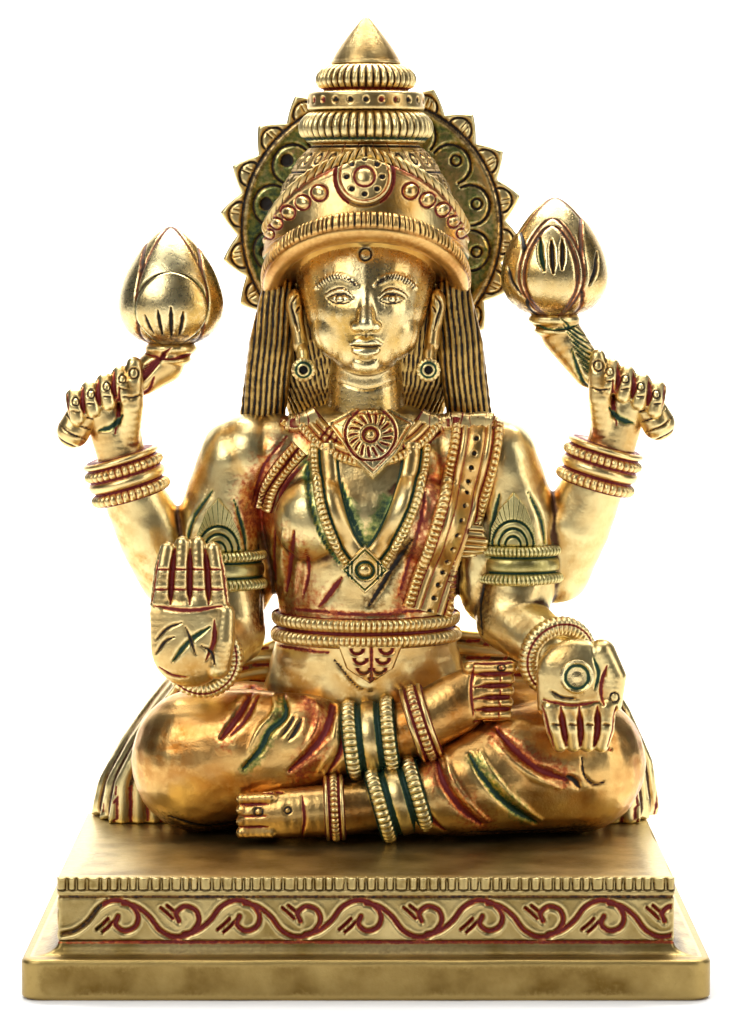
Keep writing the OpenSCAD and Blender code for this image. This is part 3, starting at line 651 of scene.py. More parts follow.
def plinth_foot():
    half_x, half_y = foot_high.x, foot_high.y
    inner = (CAVITY[0], CAVITY[1], 0.0)
    edge = 0.9  # the worn rounding of the foot's edges
    rows = rows_between(inner, (half_x - edge, half_y - edge, 0), 8)
    rows += [(half_x - edge * (1 - math.sin(a)), half_y - edge * (1 - math.sin(a)), edge * (1 - math.cos(a)))
             for a in np.linspace(0, math.pi / 2, 5, endpoint=False)]
    rows += rows_between((half_x, half_y, edge), (half_x, half_y, FOOT_TOP - edge), 14)
    rows += [(half_x - edge * (1 - math.cos(a)), half_y - edge * (1 - math.cos(a)),
              FOOT_TOP - edge * (1 - math.sin(a)))
             for a in np.linspace(0, math.pi / 2, 5, endpoint=False)]
    rows += rows_between((half_x - edge, half_y - edge, FOOT_TOP), (CAVITY[0], CAVITY[1], FOOT_TOP), 10)
    rows += rows_between((CAVITY[0], CAVITY[1], FOOT_TOP), inner, 6) + [inner]
    piece = stepped_block("plinth_foot_casting", rows, 4.0, front=260, rear=200, side=150)
    places = points(piece)
    dents = np.sin(places[:, 0] * 0.21 + 1) * np.sin(places[:, 0] * 0.067) * 0.16
    outer = smooth_step(half_y - 1.2, half_y, np.abs(places[:, 1])) * (places[:, 2] > 0.05)
    places[:, 1] -= np.sign(places[:, 1]) * outer * (0.16 + dents)
    put(piece, places)
    return finish(piece, "worn_brass", worn_brass, "plinth_foot", on_plinth=True, corners=50)


def scroll_stroke(start, flip, low, high):
    """One sweep of the running scroll: it climbs, arches over and curls back under its end."""
    tall = high - low
    knots = [(0.0, 0.12), (2.6, 0.2), (5.2, 0.44), (7.4, 0.78), (10.4, 0.95), (13.4, 0.86), (15.2, 0.58),
             (14.6, 0.3), (12.4, 0.2), (10.7, 0.36), (11.2, 0.56)]
    return [(start + x, (high - tall * z) if flip else (low + tall * z)) for x, z in knots]


def plinth_block():
    cove, side_cove, lip = 2.4, 5.4, 0.7
    top, low = BLOCK_TOP, FOOT_TOP
    roof = top - 4.0
    rows = [(0.0, 0.0, roof)] + rows_between((20, 12, roof), (CAVITY[0], CAVITY[1], roof), 3)
    rows += rows_between((CAVITY[0], CAVITY[1], roof), (CAVITY[0], CAVITY[1], low), 3)
    rows += rows_between((CAVITY[0], CAVITY[1], low), (SHAFT + side_cove, SHAFT_DEPTH + cove, low), 3)
    rows += [(SHAFT + side_cove * (1 - math.sin(a)), SHAFT_DEPTH + cove * (1 - math.sin(a)),
              low + cove * (1 - math.cos(a)))
             for a in np.linspace(0, math.pi / 2, 9, endpoint=False)]
    rows += rows_between((SHAFT, SHAFT_DEPTH, low + cove), (SHAFT, SHAFT_DEPTH, top - lip), 40)
    rows += [(SHAFT - lip * (1 - math.cos(a)), SHAFT_DEPTH - lip * (1 - math.cos(a)),
              top - lip * (1 - math.sin(a)))
             for a in np.linspace(0, math.pi / 2, 5, endpoint=False)]
    rows += rows_between((SHAFT - lip, SHAFT_DEPTH - lip, top), (12, 8, top), 10) + [(0.0, 0.0, top)]
    piece = stepped_block("plinth_block_casting", rows, 1.0)
    places, out = points(piece), normals(piece)
    frieze_low, frieze_high = low + cove + 0.7, top - 4.4
    middle = (frieze_low + frieze_high) / 2
    pitch = 24.4
    for face, run, half in (
        (-out[:, 1] > 0.8, places[:, 0], SHAFT), (out[:, 1] > 0.8, -places[:, 0], SHAFT),
        (out[:, 0] > 0.8, places[:, 1], SHAFT_DEPTH), (-out[:, 0] > 0.8, -places[:, 1], SHAFT_DEPTH),
    ):
        face = face & (places[:, 2] > low + cove) & (places[:, 2] < top - 1)
        sweeps = int(2 * half / pitch)
        first = -sweeps * pitch / 2
        spots = np.where(face)[0]
        nearest = np.full(len(spots), 1e9)
        x, z = run[spots], places[spots, 2]
        strokes = []
        for n in range(sweeps):
            for flip in (False, True):
                start = first + pitch * (n + 0.5 * flip)
                strokes.append(scroll_stroke(start, flip, frieze_low, frieze_high))
                tick = start + (8.6 if not flip else 9.4)
                lift = -1.7 if not flip else 1.7
                strokes += [[(tick - 1.8, middle + lift * 1.3), (tick - 0.6, middle + lift * 0.7),
                             (tick + 0.6, middle)],
                            [(tick - 0.6, middle + lift * 1.6), (tick + 0.6, middle + lift),
                             (tick + 1.5, middle + lift * 0.4)]]
        for number, stroke in enumerate(strokes):
            _, aside = along(curve(stroke, 6), x, z)
            thin = 1.0 if number % 3 == 0 else 0.62
            nearest = np.minimum(nearest, np.abs(aside) / thin)
        cut = np.exp(-((nearest / 0.5) ** 4))
        lip_up = soft(nearest - 1.05, 0.4) * 0.12
        edge = bump(z, frieze_low - 0.5, 0.28) + bump(z, frieze_high + 0.35, 0.22)
        places[spots] += out[spots] * (lip_up - 0.62 * cut - 0.35 * edge)[:, None]
        red, green = np.zeros(len(places)), np.zeros(len(places))
        red[spots] = np.maximum(cut, edge * 0.75) * (x > -half + 9)
        green[spots] = cut * (x <= -half + 9) + bump(z, frieze_high + 0.35, 0.5)
        coat(piece, "red", red * 0.9)
        coat(piece, "dark" if half == SHAFT else "red", green * 0.7)
    foot_line = np.exp(-(((places[:, 2] - low - cove) / 0.3) ** 2)) * (np.hypot(out[:, 0], out[:, 1]) > 0.5)
    coat(piece, "red", foot_line * 0.7)
    on_top = (places[:, 2] > top - 0.05)
    x, y = places[:, 0], places[:, 1]
    ripple = np.sin(x * 0.11 + 1) * np.sin(y * 0.13) + 0.5 * np.sin(x * 0.31 + y * 0.2)
    places[:, 2] -= on_top * (0.1 + 0.06 * ripple) * (np.abs(y) < SHAFT_DEPTH - 1)
    put(piece, places)
    return finish(piece, "plinth_brass", plinth_brass, "plinth_block", on_plinth=True, rounds=6, corners=50)


def reeded_moulding():
    """The row of upright reeds under the block's front edge, each one filed by hand."""
    low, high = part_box("reeded_moulding")
    low, high = np.array(low) / MM, np.array(high) / MM
    piece, u, v = sheet("reeded_moulding_strip", 720, 20)
    count = 60
    spread = u + 0.0022 * np.sin(u * 61) + 0.0016 * np.sin(u * 137 + 2)
    gap = 0.62 - 0.3 * v  # the gaps open downwards, as a filed notch does
    crest = reeds(spread * count, 1.0, 1.0)
    reed = np.clip((crest - gap * 0.5) / (1 - gap * 0.5), 0, 1) ** 0.6
    fillet_top = 0.22
    strip = smooth_step(fillet_top, fillet_top + 0.05, v) * smooth_step(1.0, 0.93, v)
    fillet = bump(v, fillet_top * 0.45, fillet_top * 0.45)
    depth = high[1] - low[1]
    out = 0.25 + 0.75 * np.maximum(reed * strip * (0.9 + 0.1 * np.sin(u * 91)), fillet * 0.85)
    ends = (u < 0.0005) | (u > 0.9995) | (v < 0.002) | (v > 0.998)
    out = np.where(ends, 0.1, out)
    put(piece, np.stack([low[0] + (high[0] - low[0]) * u, high[1] - depth * 0.35 - depth * 0.65 * out,
                         low[2] + (high[2] - low[2]) * v], 1))
    # Painted shade: the gaps between the reeds are coated dark, more towards the bottom.
    coat(piece, "dark", strip * (1 - reed) * 0.85 * smooth_step(0.85, 0.6, v))
    # Painted shadow: a dark line in the valley between the reeds and the fillet below them.
    coat(piece, "dark", bump(v, fillet_top + 0.02, 0.05) * 0.9)
    back(piece, 0.5)
    return finish(piece, "plinth_brass", plinth_brass, "reeded_moulding", on_plinth=True, rounds=5)


plinth_foot()
plinth_block()
reeded_moulding()

# ---------- the body's form ----------

TORSO = [((0, 7, 7), (25, 15, 12)), ((0, 5, 30), (22.5, 13, 9)), ((0, 4, 44), (18.6, 14, 8)),
         ((0, 4, 56), (20, 14.5, 9)), ((0, 4, 68), (22.5, 15, 10)), ((0, 5, 80), (24, 13, 9)),
         ((0, 5, 88), (14, 10, 5))]
BUST = ((11, -6, 68), (8.5, 8, 9))
SHOULDER = ((25, 4, 81), (8.6, 9, 9))
RIGHT_ARM = [((-29, 4, 79.4), (7, 8.6, 9)), ((-31.5, 4, 67), (9, 8.8, 9)), ((-31, 3, 54), (8.6, 8.4, 8.2)),
             ((-29, 0, 43), (7.6, 7.6, 7)), ((-33, -9, 39.5), (6.2, 6, 6))]
LEFT_ARM = [((30, 4, 79.4), (7, 8.6, 9)), ((32.5, 4, 67), (9, 8.8, 9)), ((33, 3, 56), (8.6, 8.4, 8.2)),
            ((31, 0, 46), (7.6, 7.6, 7)), ((38, -9, 41.5), (6.2, 6, 6))]
REAR_RIGHT_ARM = [((-35, 10, 57), (7.4, 7.4, 8.4)), ((-41.5, 7, 56), (8, 7.4, 8.4)),
                  ((-46, 4.5, 64), (7.6, 7, 7.6)), ((-49.8, 3.1, 72.5), (6.9, 6.4, 5.4))]
REAR_LEFT_ARM = [((35, 10, 57), (7.4, 7.4, 8.4)), ((41, 7, 57), (8, 7.4, 8.4)),
                 ((45, 4.5, 65.5), (7.6, 7, 7.6)), ((48.8, 3.1, 74.5), (6.9, 6.4, 5.4))]
RIGHT_LEG = [((-12, 10, 15), (14, 14, 15)), ((-26, 5, 16), (15.5, 14.5, 16)),
             ((-36, 0, 15.5), (14.5, 13.5, 15.5)),
             ((-25, -5, 18), (14, 11, 13.5)), ((-13, -8, 20.5), (9.5, 9, 10.5)),
             ((-4, -10, 21), (6.2, 6.5, 7))]
LEFT_LEG = [((12, 10, 15), (14, 14, 15)), ((30, 5, 16), (17, 14.5, 16)), ((45, -1, 15.2), (15.2, 14, 15.2)),
            ((33, -7, 14.5), (14, 11, 13.5)), ((22, -11, 11.5), (10.5, 8.5, 10.5)),
            ((12, -13, 8.6), (7, 6.5, 7))]


def across(part):
    """Balls from a ball on one side to its twin on the other."""
    (x, y, z), half = part
    return limb([((-x, y, z), half), ((x, y, z), half)], 9)


def torso_balls():
    return limb(TORSO, 8) + both_sides(*BUST) + across(((9, -3.5, 68), (8.5, 8, 9))) + across(SHOULDER)


def flat_seat(piece, level=0.05):
    """Sinks whatever lies below the seat up to it, so that the piece rests flat."""
    places = points(piece)
    places[:, 2] = np.maximum(places[:, 2], level)
    put(piece, places)
    return piece


torso_skin = cluster("torso_skin", torso_balls(), 0.7, 8)
torso_tree = tree_of(torso_skin)
right_arm_skin = cluster("right_arm_skin", limb(RIGHT_ARM), 0.7, 6)
right_arm_tree = tree_of(right_arm_skin)
left_arm_skin = cluster("left_arm_skin", limb(LEFT_ARM), 0.7, 6)
left_arm_tree = tree_of(left_arm_skin)
body_skin = cluster("body_skin", torso_balls() + limb(RIGHT_ARM) + limb(LEFT_ARM), 0.7, 8)
body_tree = tree_of(body_skin)
for former in (torso_skin, right_arm_skin, left_arm_skin, body_skin):
    bpy.data.objects.remove(former)


def body():
    """Torso and arms in one casting, as the founder pours them."""
    balls = torso_balls() + limb(RIGHT_ARM) + limb(LEFT_ARM) + limb(REAR_RIGHT_ARM) + limb(REAR_LEFT_ARM)
    balls += [((-24, 7, 58), (5, 6, 12)), ((24.5, 3.5, 59), (5.5, 6.5, 14))]  # the web left under the arms
    piece = flat_seat(cluster("body_casting", balls, 0.52, 9))
    uneven(piece, 0.12, 9)
    engrave(piece, [
        ("red", 1.3, 0.6, [(-15.2, 66), (-16, 60.5), (-17.1, 52.4)]),
        ("red", 0.8, 0.4, [(-12.6, 62), (-12.2, 57), (-13.4, 51.5)]),
        ("red", 1.3, 0.5, [(-5.1, 56), (-7.6, 52.6), (-9.9, 49.7)]),
        ("red", 0.8, 0.4, [(-19.5, 66), (-19.8, 60), (-19.4, 54)]),
        (None, 1.2, -0.35, [(-13.8, 65), (-14.2, 59), (-15.2, 52)]),
        (None, 1.2, -0.35, [(-17.4, 66), (-18, 60), (-18.6, 53)]),
        ("dark", 1.3, 0.6, [(9.6, 64), (7, 60), (4.6, 56.3), (0.6, 49.8)]),
        ("green", 0.8, 0.4, [(7.4, 72), (6.6, 68), (5, 63.6)]),
        ("green", 1.0, 0.3, [(-5.4, 77), (-3.4, 70), (-0.6, 64)]),
        ("green", 0.9, 0.4, [(-12.4, 83), (-12.2, 75), (-9.4, 65), (-5.6, 58.8)]),
        ("red", 0.9, 0.4, [(-11.6, 81.5), (-17, 75.6), (-19, 70.4)]),
        ("red", 0.8, 0.3, [(-16.8, 85.6), (-21.6, 79.4), (-24.2, 71)]),
        ("red", 0.9, 0.3, [(-19.5, 95), (-16, 89.5), (-11.5, 84.6), (-6, 81)]),
        ("red", 0.9, 0.3, [(20, 94), (17.5, 89), (13.6, 84.2)]),
        ("red", 1.0, 0.4, [(12.8, 78), (11.8, 70), (9.6, 61), (7, 52)]),
        ("red", 0.8, 0.3, [(-20, 49), (0, 48.2), (20, 49)]),
        ("red", 0.8, 0.3, [(-19, 40.4), (-8, 39.8)]),
        ("dark", 0.6, 0.3, [(-7, 38.6), (-2, 32.6), (1.4, 31.4)]),
        # Painted shade: the next two dark lines lie in the joins between the torso and the arms.
        ("dark", 0.7, 0.3, [(25.6, 55), (24.4, 49), (24.8, 43)]),
        ("dark", 0.7, 0.3, [(-23, 62), (-22.2, 54), (-22.4, 46)]),
        ("green", 0.9, 0.3, [(-38.6, 61.6), (-36.8, 68), (-32.6, 74)]),
        ("green", 0.8, 0.3, [(-28, 72), (-26, 65), (-25.6, 61)]),
        ("green", 0.9, 0.3, [(28.4, 73.4), (27, 67), (26.4, 62.6)]),
        ("green", 0.8, 0.3, [(34.6, 73.6), (37.4, 67.4), (38.2, 62.6)]),
    ])
    stain(piece, [
        ("red", 11, 0.5, [(-19, 82), (-23, 75), (-24.5, 67)]),
        ("red", 6, 0.5, [(-20, 94), (-14, 87), (-7, 82.5)]),
        ("red", 6, 0.5, [(20, 94), (15, 87), (11, 83.5)]),
        ("red", 7, 0.62, [(-21, 46), (-8, 45), (10, 46)]),
        ("red", 13, 0.4, [(-16, 64), (-15, 54), (-10, 48)]),
        ("red", 6, 0.55, [(15.5, 80), (12.5, 68), (9, 56), (7, 47)]),
        ("green", 4, 0.6, [(-4, 72), (-0.2, 63), (4, 72)]),
        ("green", 4, 0.55, [(-12.5, 80), (-11.5, 72), (-5, 60)]),
        ("dark", 6, 0.5, [(9, 64), (5, 57), (1, 50)]),
        # Painted shade: the next two dark stains lie in the joins between the torso and the arms.
        ("dark", 5, 0.5, [(26, 56), (25, 46)]),
        ("dark", 5, 0.5, [(-23, 60), (-22.4, 46)]),
        ("green", 7, 0.45, [(-38, 60), (-26, 59)]),
        ("green", 7, 0.45, [(27, 61), (38, 61)]),
    ])
    return finish(piece, "antique_brass", antique_brass,
                  "torso", "right_arm", "left_arm", "rear_right_arm", "rear_left_arm")


def right_leg():
    piece = flat_seat(cluster("right_leg_casting", limb(RIGHT_LEG, 8), 0.42, 12))
    uneven(piece, 0.1, 8)
    engrave(piece, [
        ("red", 1.7, 0.7, [(-24.2, 31.6), (-26.8, 27.4), (-30.6, 22.4)]),
        ("red", 1.0, 0.4, [(-23, 30.6), (-25.4, 26.4), (-28.6, 23)]),
        ("green", 1.5, 0.8, [(-17.5, 31.4), (-17.1, 27.3), (-20.3, 24.2), (-22.3, 20.2), (-25.8, 16)]),
        (None, 1.1, -0.5, [(-19.6, 31.6), (-19.4, 27.8), (-22.4, 24.4), (-24.6, 20)]),
        ("dark", 0.9, 0.5, [(-13.6, 26.6), (-15, 24), (-16.4, 22.2)]),
        ("dark", 0.7, 0.4, [(-15, 27.4), (-16.2, 25.2), (-17.8, 23)]),
        ("red", 1.8, 0.9, [(-13.6, 33), (-7.3, 30.6), (-8.1, 25.1), (-11.2, 20.3), (-16, 15.6)]),
        (None, 1.4, -0.5, [(-15, 31.4), (-10.4, 29), (-10.6, 24.6), (-13.4, 20)]),
        ("red", 1.2, 0.6, [(-4.6, 31), (-4.6, 25), (-5.4, 19.6), (-8.2, 14.4)]),
        (None, 1.2, -0.4, [(-6.2, 31.6), (-6.4, 25.6), (-7.4, 20.2), (-10, 15.6)]),
        # Painted shade: the dark coat of this groove along the bottom of the leg, where it meets the seat.
        ("dark", 1.0, 0.4, [(-42, 4.6), (-34, 2.2), (-26, 3.4), (-18, 6.8)]),
    ])
    stain(piece, [("red", 8, 0.5, [(-12, 31), (-10, 22), (-14, 15)]),
                  ("red", 7, 0.45, [(-24, 31), (-30, 22)]),
                  ("green", 4, 0.5, [(-18, 30), (-21, 22), (-25, 16)]),
                  # Painted shade: the broad dark stain along the bottom of the leg, where it meets the seat.
                  ("dark", 6, 0.5, [(-44, 3), (-30, 1), (-16, 6)])])
    return finish(piece, "coppery_brass", coppery_brass, "right_leg")


def left_leg():
    piece = flat_seat(cluster("left_leg_casting", limb(LEFT_LEG, 8), 0.42, 12))
    uneven(piece, 0.1, 8)
    engrave(piece, [
        ("red", 1.7, 0.8, [(14.7, 18.6), (16.3, 13.5), (20.2, 7.9), (24.2, 4.4)]),
        (None, 1.3, -0.5, [(16.8, 19), (18.4, 14), (22, 8.8), (25.8, 5.2)]),
        ("green", 1.5, 0.8, [(21.8, 19.4), (24.9, 14.3), (29.7, 8.7), (36, 4)]),
        (None, 1.3, -0.5, [(24, 20), (26.8, 15.2), (31.4, 9.8), (37.2, 5)]),
        ("red", 1.7, 0.8, [(27.6, 24.2), (31.2, 20.5), (36, 16.5), (42.3, 13.7)]),
        (None, 1.3, -0.4, [(26.4, 22.4), (30, 18.8), (35, 14.8), (41, 12)]),
        ("dark", 1.3, 0.6, [(42.4, 14.6), (44, 13.4), (45.2, 11.8)]),
        ("dark", 0.6, 0.4, [(45.6, 18.3), (46, 14.8), (48, 12.6), (50.8, 13)]),
        ("red", 1.2, 0.6, [(9.8, 15.6), (10.8, 11), (13.6, 6), (16.6, 3)]),
        ("red", 1.0, 0.4, [(40, 24), (46, 21.4), (52, 19.6)]),
        # Painted shade: the dark coat of this groove along the bottom of the leg, where it meets the seat.
        ("dark", 1.0, 0.4, [(22, 2.4), (32, 1.6), (44, 1.8)]),
    ])
    stain(piece, [("red", 8, 0.5, [(14, 17), (24, 5)]), ("red", 7, 0.5, [(28, 23), (42, 14)]),
                  # Painted shade: the last stain, broad and dark, runs along the bottom of the leg where it
                  # meets the seat.
                  ("green", 5, 0.5, [(23, 18), (34, 5)]), ("dark", 6, 0.5, [(18, 1), (34, 0), (48, 2)])])
    return finish(piece, "coppery_brass", coppery_brass, "left_leg")


def back_drape():
    """The cloth standing up behind the figure, in ridged folds that follow its edge."""
    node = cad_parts["back_drape"]
    bpy.ops.object.select_all(action="DESELECT")
    piece = node.copy()
    piece.data = node.data.copy()
    piece.name = piece.data.name = "back_drape_cloth"
    piece.parent = None
    for key in list(piece.keys()):
        del piece[key]
    bpy.context.scene.collection.objects.link(piece)
    put(piece, (points(piece) - np.array(figure_axis)) / figure_mm)
    edit(piece, ("remove_doubles", {"threshold": 0.01}))
    modify(piece, "REMESH", mode="VOXEL", voxel_size=0.75)
    modify(piece, "SMOOTH", factor=0.5, iterations=10)
    edge = curve([(-58, 2), (-56.5, 12), (-52, 20), (-46, 28.5), (-41.5, 34), (-20, 42), (20, 44),
                  (44, 41.5), (50, 36), (56, 27), (60.5, 17), (62, 7), (61.6, 2)])
    places, out = points(piece), normals(piece)
    run, aside = along(edge, places[:, 0].copy(), places[:, 2].copy())
    inward = np.abs(aside)
    fold = reeds(inward + 0.8 * np.sin(run * 0.16), 3.4, 0.8)
    face = smooth_step(0.25, 0.7, np.abs(out[:, 1]))
    put(piece, places + out * ((fold - 0.6) * 0.8 * face)[:, None])
    streak = np.sin(run * 0.5) + np.sin(run * 0.23 + 1)
    coat(piece, "red", (fold < 0.38) * face * (streak > 0.2) * 0.9)
    coat(piece, "dark", (fold < 0.2) * face * (streak < -0.8) * 0.5)
    return finish(piece, "antique_brass", antique_brass, "back_drape", rounds=8)


body()
right_leg()
left_leg()
back_drape()

# ---------- feet and the rings on the legs ----------


def right_foot():
    """The upper foot, sole to the front, its toes stacked one on another."""
    balls = limb([((4, -10, 21.5), (5, 5.5, 5.8)), ((11, -11, 24.5), (6.6, 5.5, 6.4)),
                  ((19, -10.5, 29), (6.5, 5, 6.6)), ((25, -10, 32.2), (3.5, 3.8, 6.2))])
    for toe in range(5):
        z = 37 - toe * 2.5
        r = 1.55 if toe == 0 else 1.3
        balls += finger([(22, -12.2, z, r), (27, -12.9, z + 0.1, r), (30.4 - toe * 0.15, -12.8, z + 0.2, r)])
    piece = cluster("right_foot_casting", balls, 0.3, 4)
    strokes = [("red", 0.8, 0.5, [(23, 38.2 - n * 2.5), (26.5, 38.4 - n * 2.5), (31.4, 38.5 - n * 2.5)])
               for n in range(6)]
    strokes += [("red", 0.4, 0.3, [(28.4 - n * 0.1, 37.9 - n * 2.5), (28.6 - n * 0.1, 36.4 - n * 2.5)])
                for n in range(5)]
    strokes += [("red", 0.7, 0.4, [(22.8, 38), (22.2, 33), (22.8, 27)]),
                ("dark", 0.5, 0.3, ring_of(28.6, 37.3, 0.8))]
    engrave(piece, strokes)
    return finish(piece, "coppery_brass", coppery_brass, "right_foot", rounds=8)


def left_foot():
    """The lower foot, lying on the seat with its toes to the figure's right."""
    balls = limb([((3, -14, 8), (4.6, 4.6, 5)), ((-6, -15, 7.2), (5.4, 4.8, 5.6)),
                  ((-17, -15, 6.4), (6, 4.6, 5.4)), ((-24.5, -15, 6), (2.6, 3.8, 4.4))])
    for toe in range(4):
        balls += finger([(-20, -17.5, 10.2 - toe * 2.4, 1.4), (-26.2, -16.6, 9.8 - toe * 2.4, 1.25)])
    piece = flat_seat(cluster("left_foot_casting", balls, 0.3, 4))
    strokes = [("red", 0.6, 0.4, [(-26.6, 8.7 - 2.4 * n), (-23, 8.9 - 2.4 * n), (-20.6, 9 - 2.4 * n)])
               for n in range(3)]
    strokes += [("red", 0.8, 0.4, [(-27, 11.2), (-22, 11.6), (-17.6, 11.2)]),
                ("dark", 0.45, 0.3, ring_of(-22.6, 7.4, 0.9)), ("dark", 0.45, 0.3, ring_of(-16.4, 7.8, 0.7)),
                ("red", 0.9, 0.5, [(-27, 1.4), (-20, 0.9), (-12, 1.2)]),
                ("red", 0.7, 0.4, [(-13.4, 10.6), (-12.9, 6), (-13.5, 1.8)])]
    engrave(piece, strokes)
    return finish(piece, "coppery_brass", coppery_brass, "left_foot", rounds=8)


def shin_rings(name, node, at, toward, radius):
    """A pair of beaded rings on the lower leg, with a plain band between them."""
    piece = arm_ring(name, at, toward, radius - 1.3, 11.6,
                     [(-4.1, 1.7, 1.5, 34, "green"), (0, 1.9, 0.8, 0, "green"), (4.1, 1.7, 1.5, 34, "green")])
    places = points(piece)
    put(piece, np.column_stack([places[:, :2], np.maximum(places[:, 2], 0.05)]))
    return finish(piece, "green_lacquered_brass", antique_brass, node, rounds=8)


def anklet(name, node, at, toward, radius, height):
    piece = arm_ring(name, at, toward, radius - 0.9, height,
                     [(-height * 0.36, height * 0.14, 0.9, 0, "red"), (0, height * 0.24, 1.2, 36, "red"),
                      (height * 0.36, height * 0.14, 0.9, 0, "red")])
    places = points(piece)
    put(piece, np.column_stack([places[:, :2], np.maximum(places[:, 2], 0.05)]))
    return finish(piece, "red_lacquered_brass", red_brass, node, rounds=8)


right_foot()
left_foot()
shin_rings("right_shin_beads", "right_shin_rings", (1.2, -9.8, 21.6), (1, -0.05, 0.12), 8.6)
shin_rings("left_shin_beads", "left_shin_rings", (7, -13.4, 9.1), (0.96, 0.02, 0.28), 8.2)
anklet("right_anklet_beads", "right_foot_anklet", (11.8, -10.8, 25), (1, -0.02, 0.34), 8.4, 5)
anklet("left_anklet_beads", "left_foot_anklet", (-6.6, -14.6, 7.6), (1, 0, 0.05), 7, 4.4)

# ---------- ornaments laid on the body ----------


def waist_belt():
    def relief(angle, up):
        row = reeds(angle * 19, 1.45)
        upper, lower = bump(up, 1.7, 1.45), bump(up, -1.7, 1.45)
        height = 0.25 + (upper + lower) * (0.75 + 0.75 * row)
        gap = smooth_step(0.5, 0.2, row) * np.maximum(upper, lower)
        red = np.maximum(gap * 0.55, smooth_step(0.55, 0.2, np.maximum(upper, lower)))
        return height, {"red": red * 0.95}

    piece = wrap("waist_belt_bands", torso_tree, (0, 4), 44.6, 6.8, relief, 900, 34)
    places = points(piece)
    places[:, 2] -= 0.7 * np.cos(np.clip(places[:, 0] / 20, -1.5, 1.5)) * (places[:, 1] < 4)
    put(piece, places)
    return finish(piece, "red_lacquered_brass", antique_brass, "waist_belt", rounds=8)


def belt_pendant():
    outline = kite([(0.4, 4.6), (7.2, 4.4), (5.2, -1), (0.2, -4.4), (-4.8, -1), (-6.6, 4.4)])

    def relief(x, z, out):
        crescents = np.zeros(len(x))
        for column in (-1, 1):
            for n in range(4):
                middle_x, middle_z = 0.6 + column * (3.0 - n * 0.7), 3.3 - n * 2.1
                gap = np.hypot((x - middle_x) * 0.8, z - middle_z)
                crescents = np.maximum(crescents, soft(gap - 1.0, 0.3) * (z < middle_z + 0.3))
        ridge = soft(x - 0.5, 0.4)
        cut = np.maximum(crescents, ridge * 0.8)
        return 1.5 - 0.6 * cut - 0.5 * smooth_step(0.86, 1, out), {"red": cut, "dark": cut * (z < -1.4) * 0.6}

    piece = plaque("belt_pendant_plate", torso_tree, (0.6, 37.6), outline, relief, 130, 1.6)
    return finish(piece, "red_lacquered_brass", red_brass, "belt_pendant", rounds=8)


def collar():
    half = 2.8

    def relief(run, aside):
        outer = bump(aside, half - 1.0, 0.95)
        row = reeds(run, 0.95)
        plain = np.maximum(bump(aside, -1.7, 0.85), bump(aside, 0.05, 0.8))
        height = 0.3 + outer * (0.55 + 0.7 * row) + plain * 0.75
        groove = smooth_step(0.45, 0.15, np.maximum(outer, plain))
        bars = sum(soft(run - place, 0.32) for place in (10.6, 12, 13.4, 25.6, 27, 28.4))
        cut = np.maximum(groove, bars * (aside < 0.9) * 0.9)
        red = np.maximum(cut, outer * smooth_step(0.5, 0.2, row) * 0.7)
        return height - 0.4 * bars * (aside < 0.9), {"red": red}

    knots = [(-16, 93.4), (-14.2, 90.8), (-11.6, 87.9), (-8.4, 85), (-4.2, 82.8), (0.8, 81.8), (5.8, 82.8),
             (10, 85), (13.2, 87.9), (15.6, 90.8), (17.2, 93.4)]
    piece = ribbon("collar_bands", body_tree, knots, 2 * half, relief, 620, 34, taut=500)
    return finish(piece, "red_lacquered_brass", red_brass, "collar_necklace", rounds=8)


def collar_pendant():
    outline = kite([(0, 5), (4.6, 5.2), (9.4, 2.6), (6.2, -2.8), (0.6, -8.4), (-5, -2.8), (-9, 2.6),
                    (-4, 5.2)])

    def relief(x, z, out):
        away, turn = np.hypot(x, z - 0.2), np.arctan2(x, z - 0.2)
        petal = turn * 17 / (2 * math.pi) + (away - 2.7) * 0.22
        blade = soft(petal - np.rint(petal), 0.2)
        blade = blade * smooth_step(2.2, 2.7, away) * smooth_step(4.7, 4.0, away)
        circles = soft(away - 1.45, 0.3) + soft(away - 5.1, 0.26) * (z > -5)
        rim = soft(out - 0.84, 0.03) * 0.8
        cut = np.clip(blade + circles, 0, 1)
        boss = bump(away, 0, 1.0) * 0.7
        return 2.1 - 0.5 * cut - 0.3 * rim + boss - 0.6 * smooth_step(0.93, 1,
                                                                      out), {"red": np.maximum(cut,
                                                                                               rim * 0.7)}

    piece = plaque("collar_pendant_plate", torso_tree, (0.9, 85.2), outline, relief, 200, 2.2)
    return finish(piece, "red_lacquered_brass", polished_brass, "collar_pendant", rounds=6)


def long_necklace():
    half = 3.1

    def relief(run, aside):
        outer = bump(aside, half - 1.0, 0.95)
        row = reeds(run, 1.0)
        inner = bump(aside, -0.9, 1.7)
        height = 0.3 + outer * (0.6 + 0.8 * row) + inner * 1.1
        groove = smooth_step(0.5, 0.15, np.maximum(outer, inner))
        return height, {"green": np.maximum(groove, outer * smooth_step(0.45, 0.2, row) * 0.75)}

    knots = [(-8.9, 84), (-8.6, 79), (-7.6, 72), (-5, 64.6), (-2.4, 60.4), (-0.2, 57.6), (2.2, 60.4),
             (5, 64.6),
             (8.4, 72), (10.2, 79), (10.8, 84)]
    piece = ribbon("long_necklace_bands", torso_tree, knots, 2 * half, relief, 620, 34)
    return finish(piece, "red_lacquered_brass", antique_brass, "long_necklace", rounds=8)


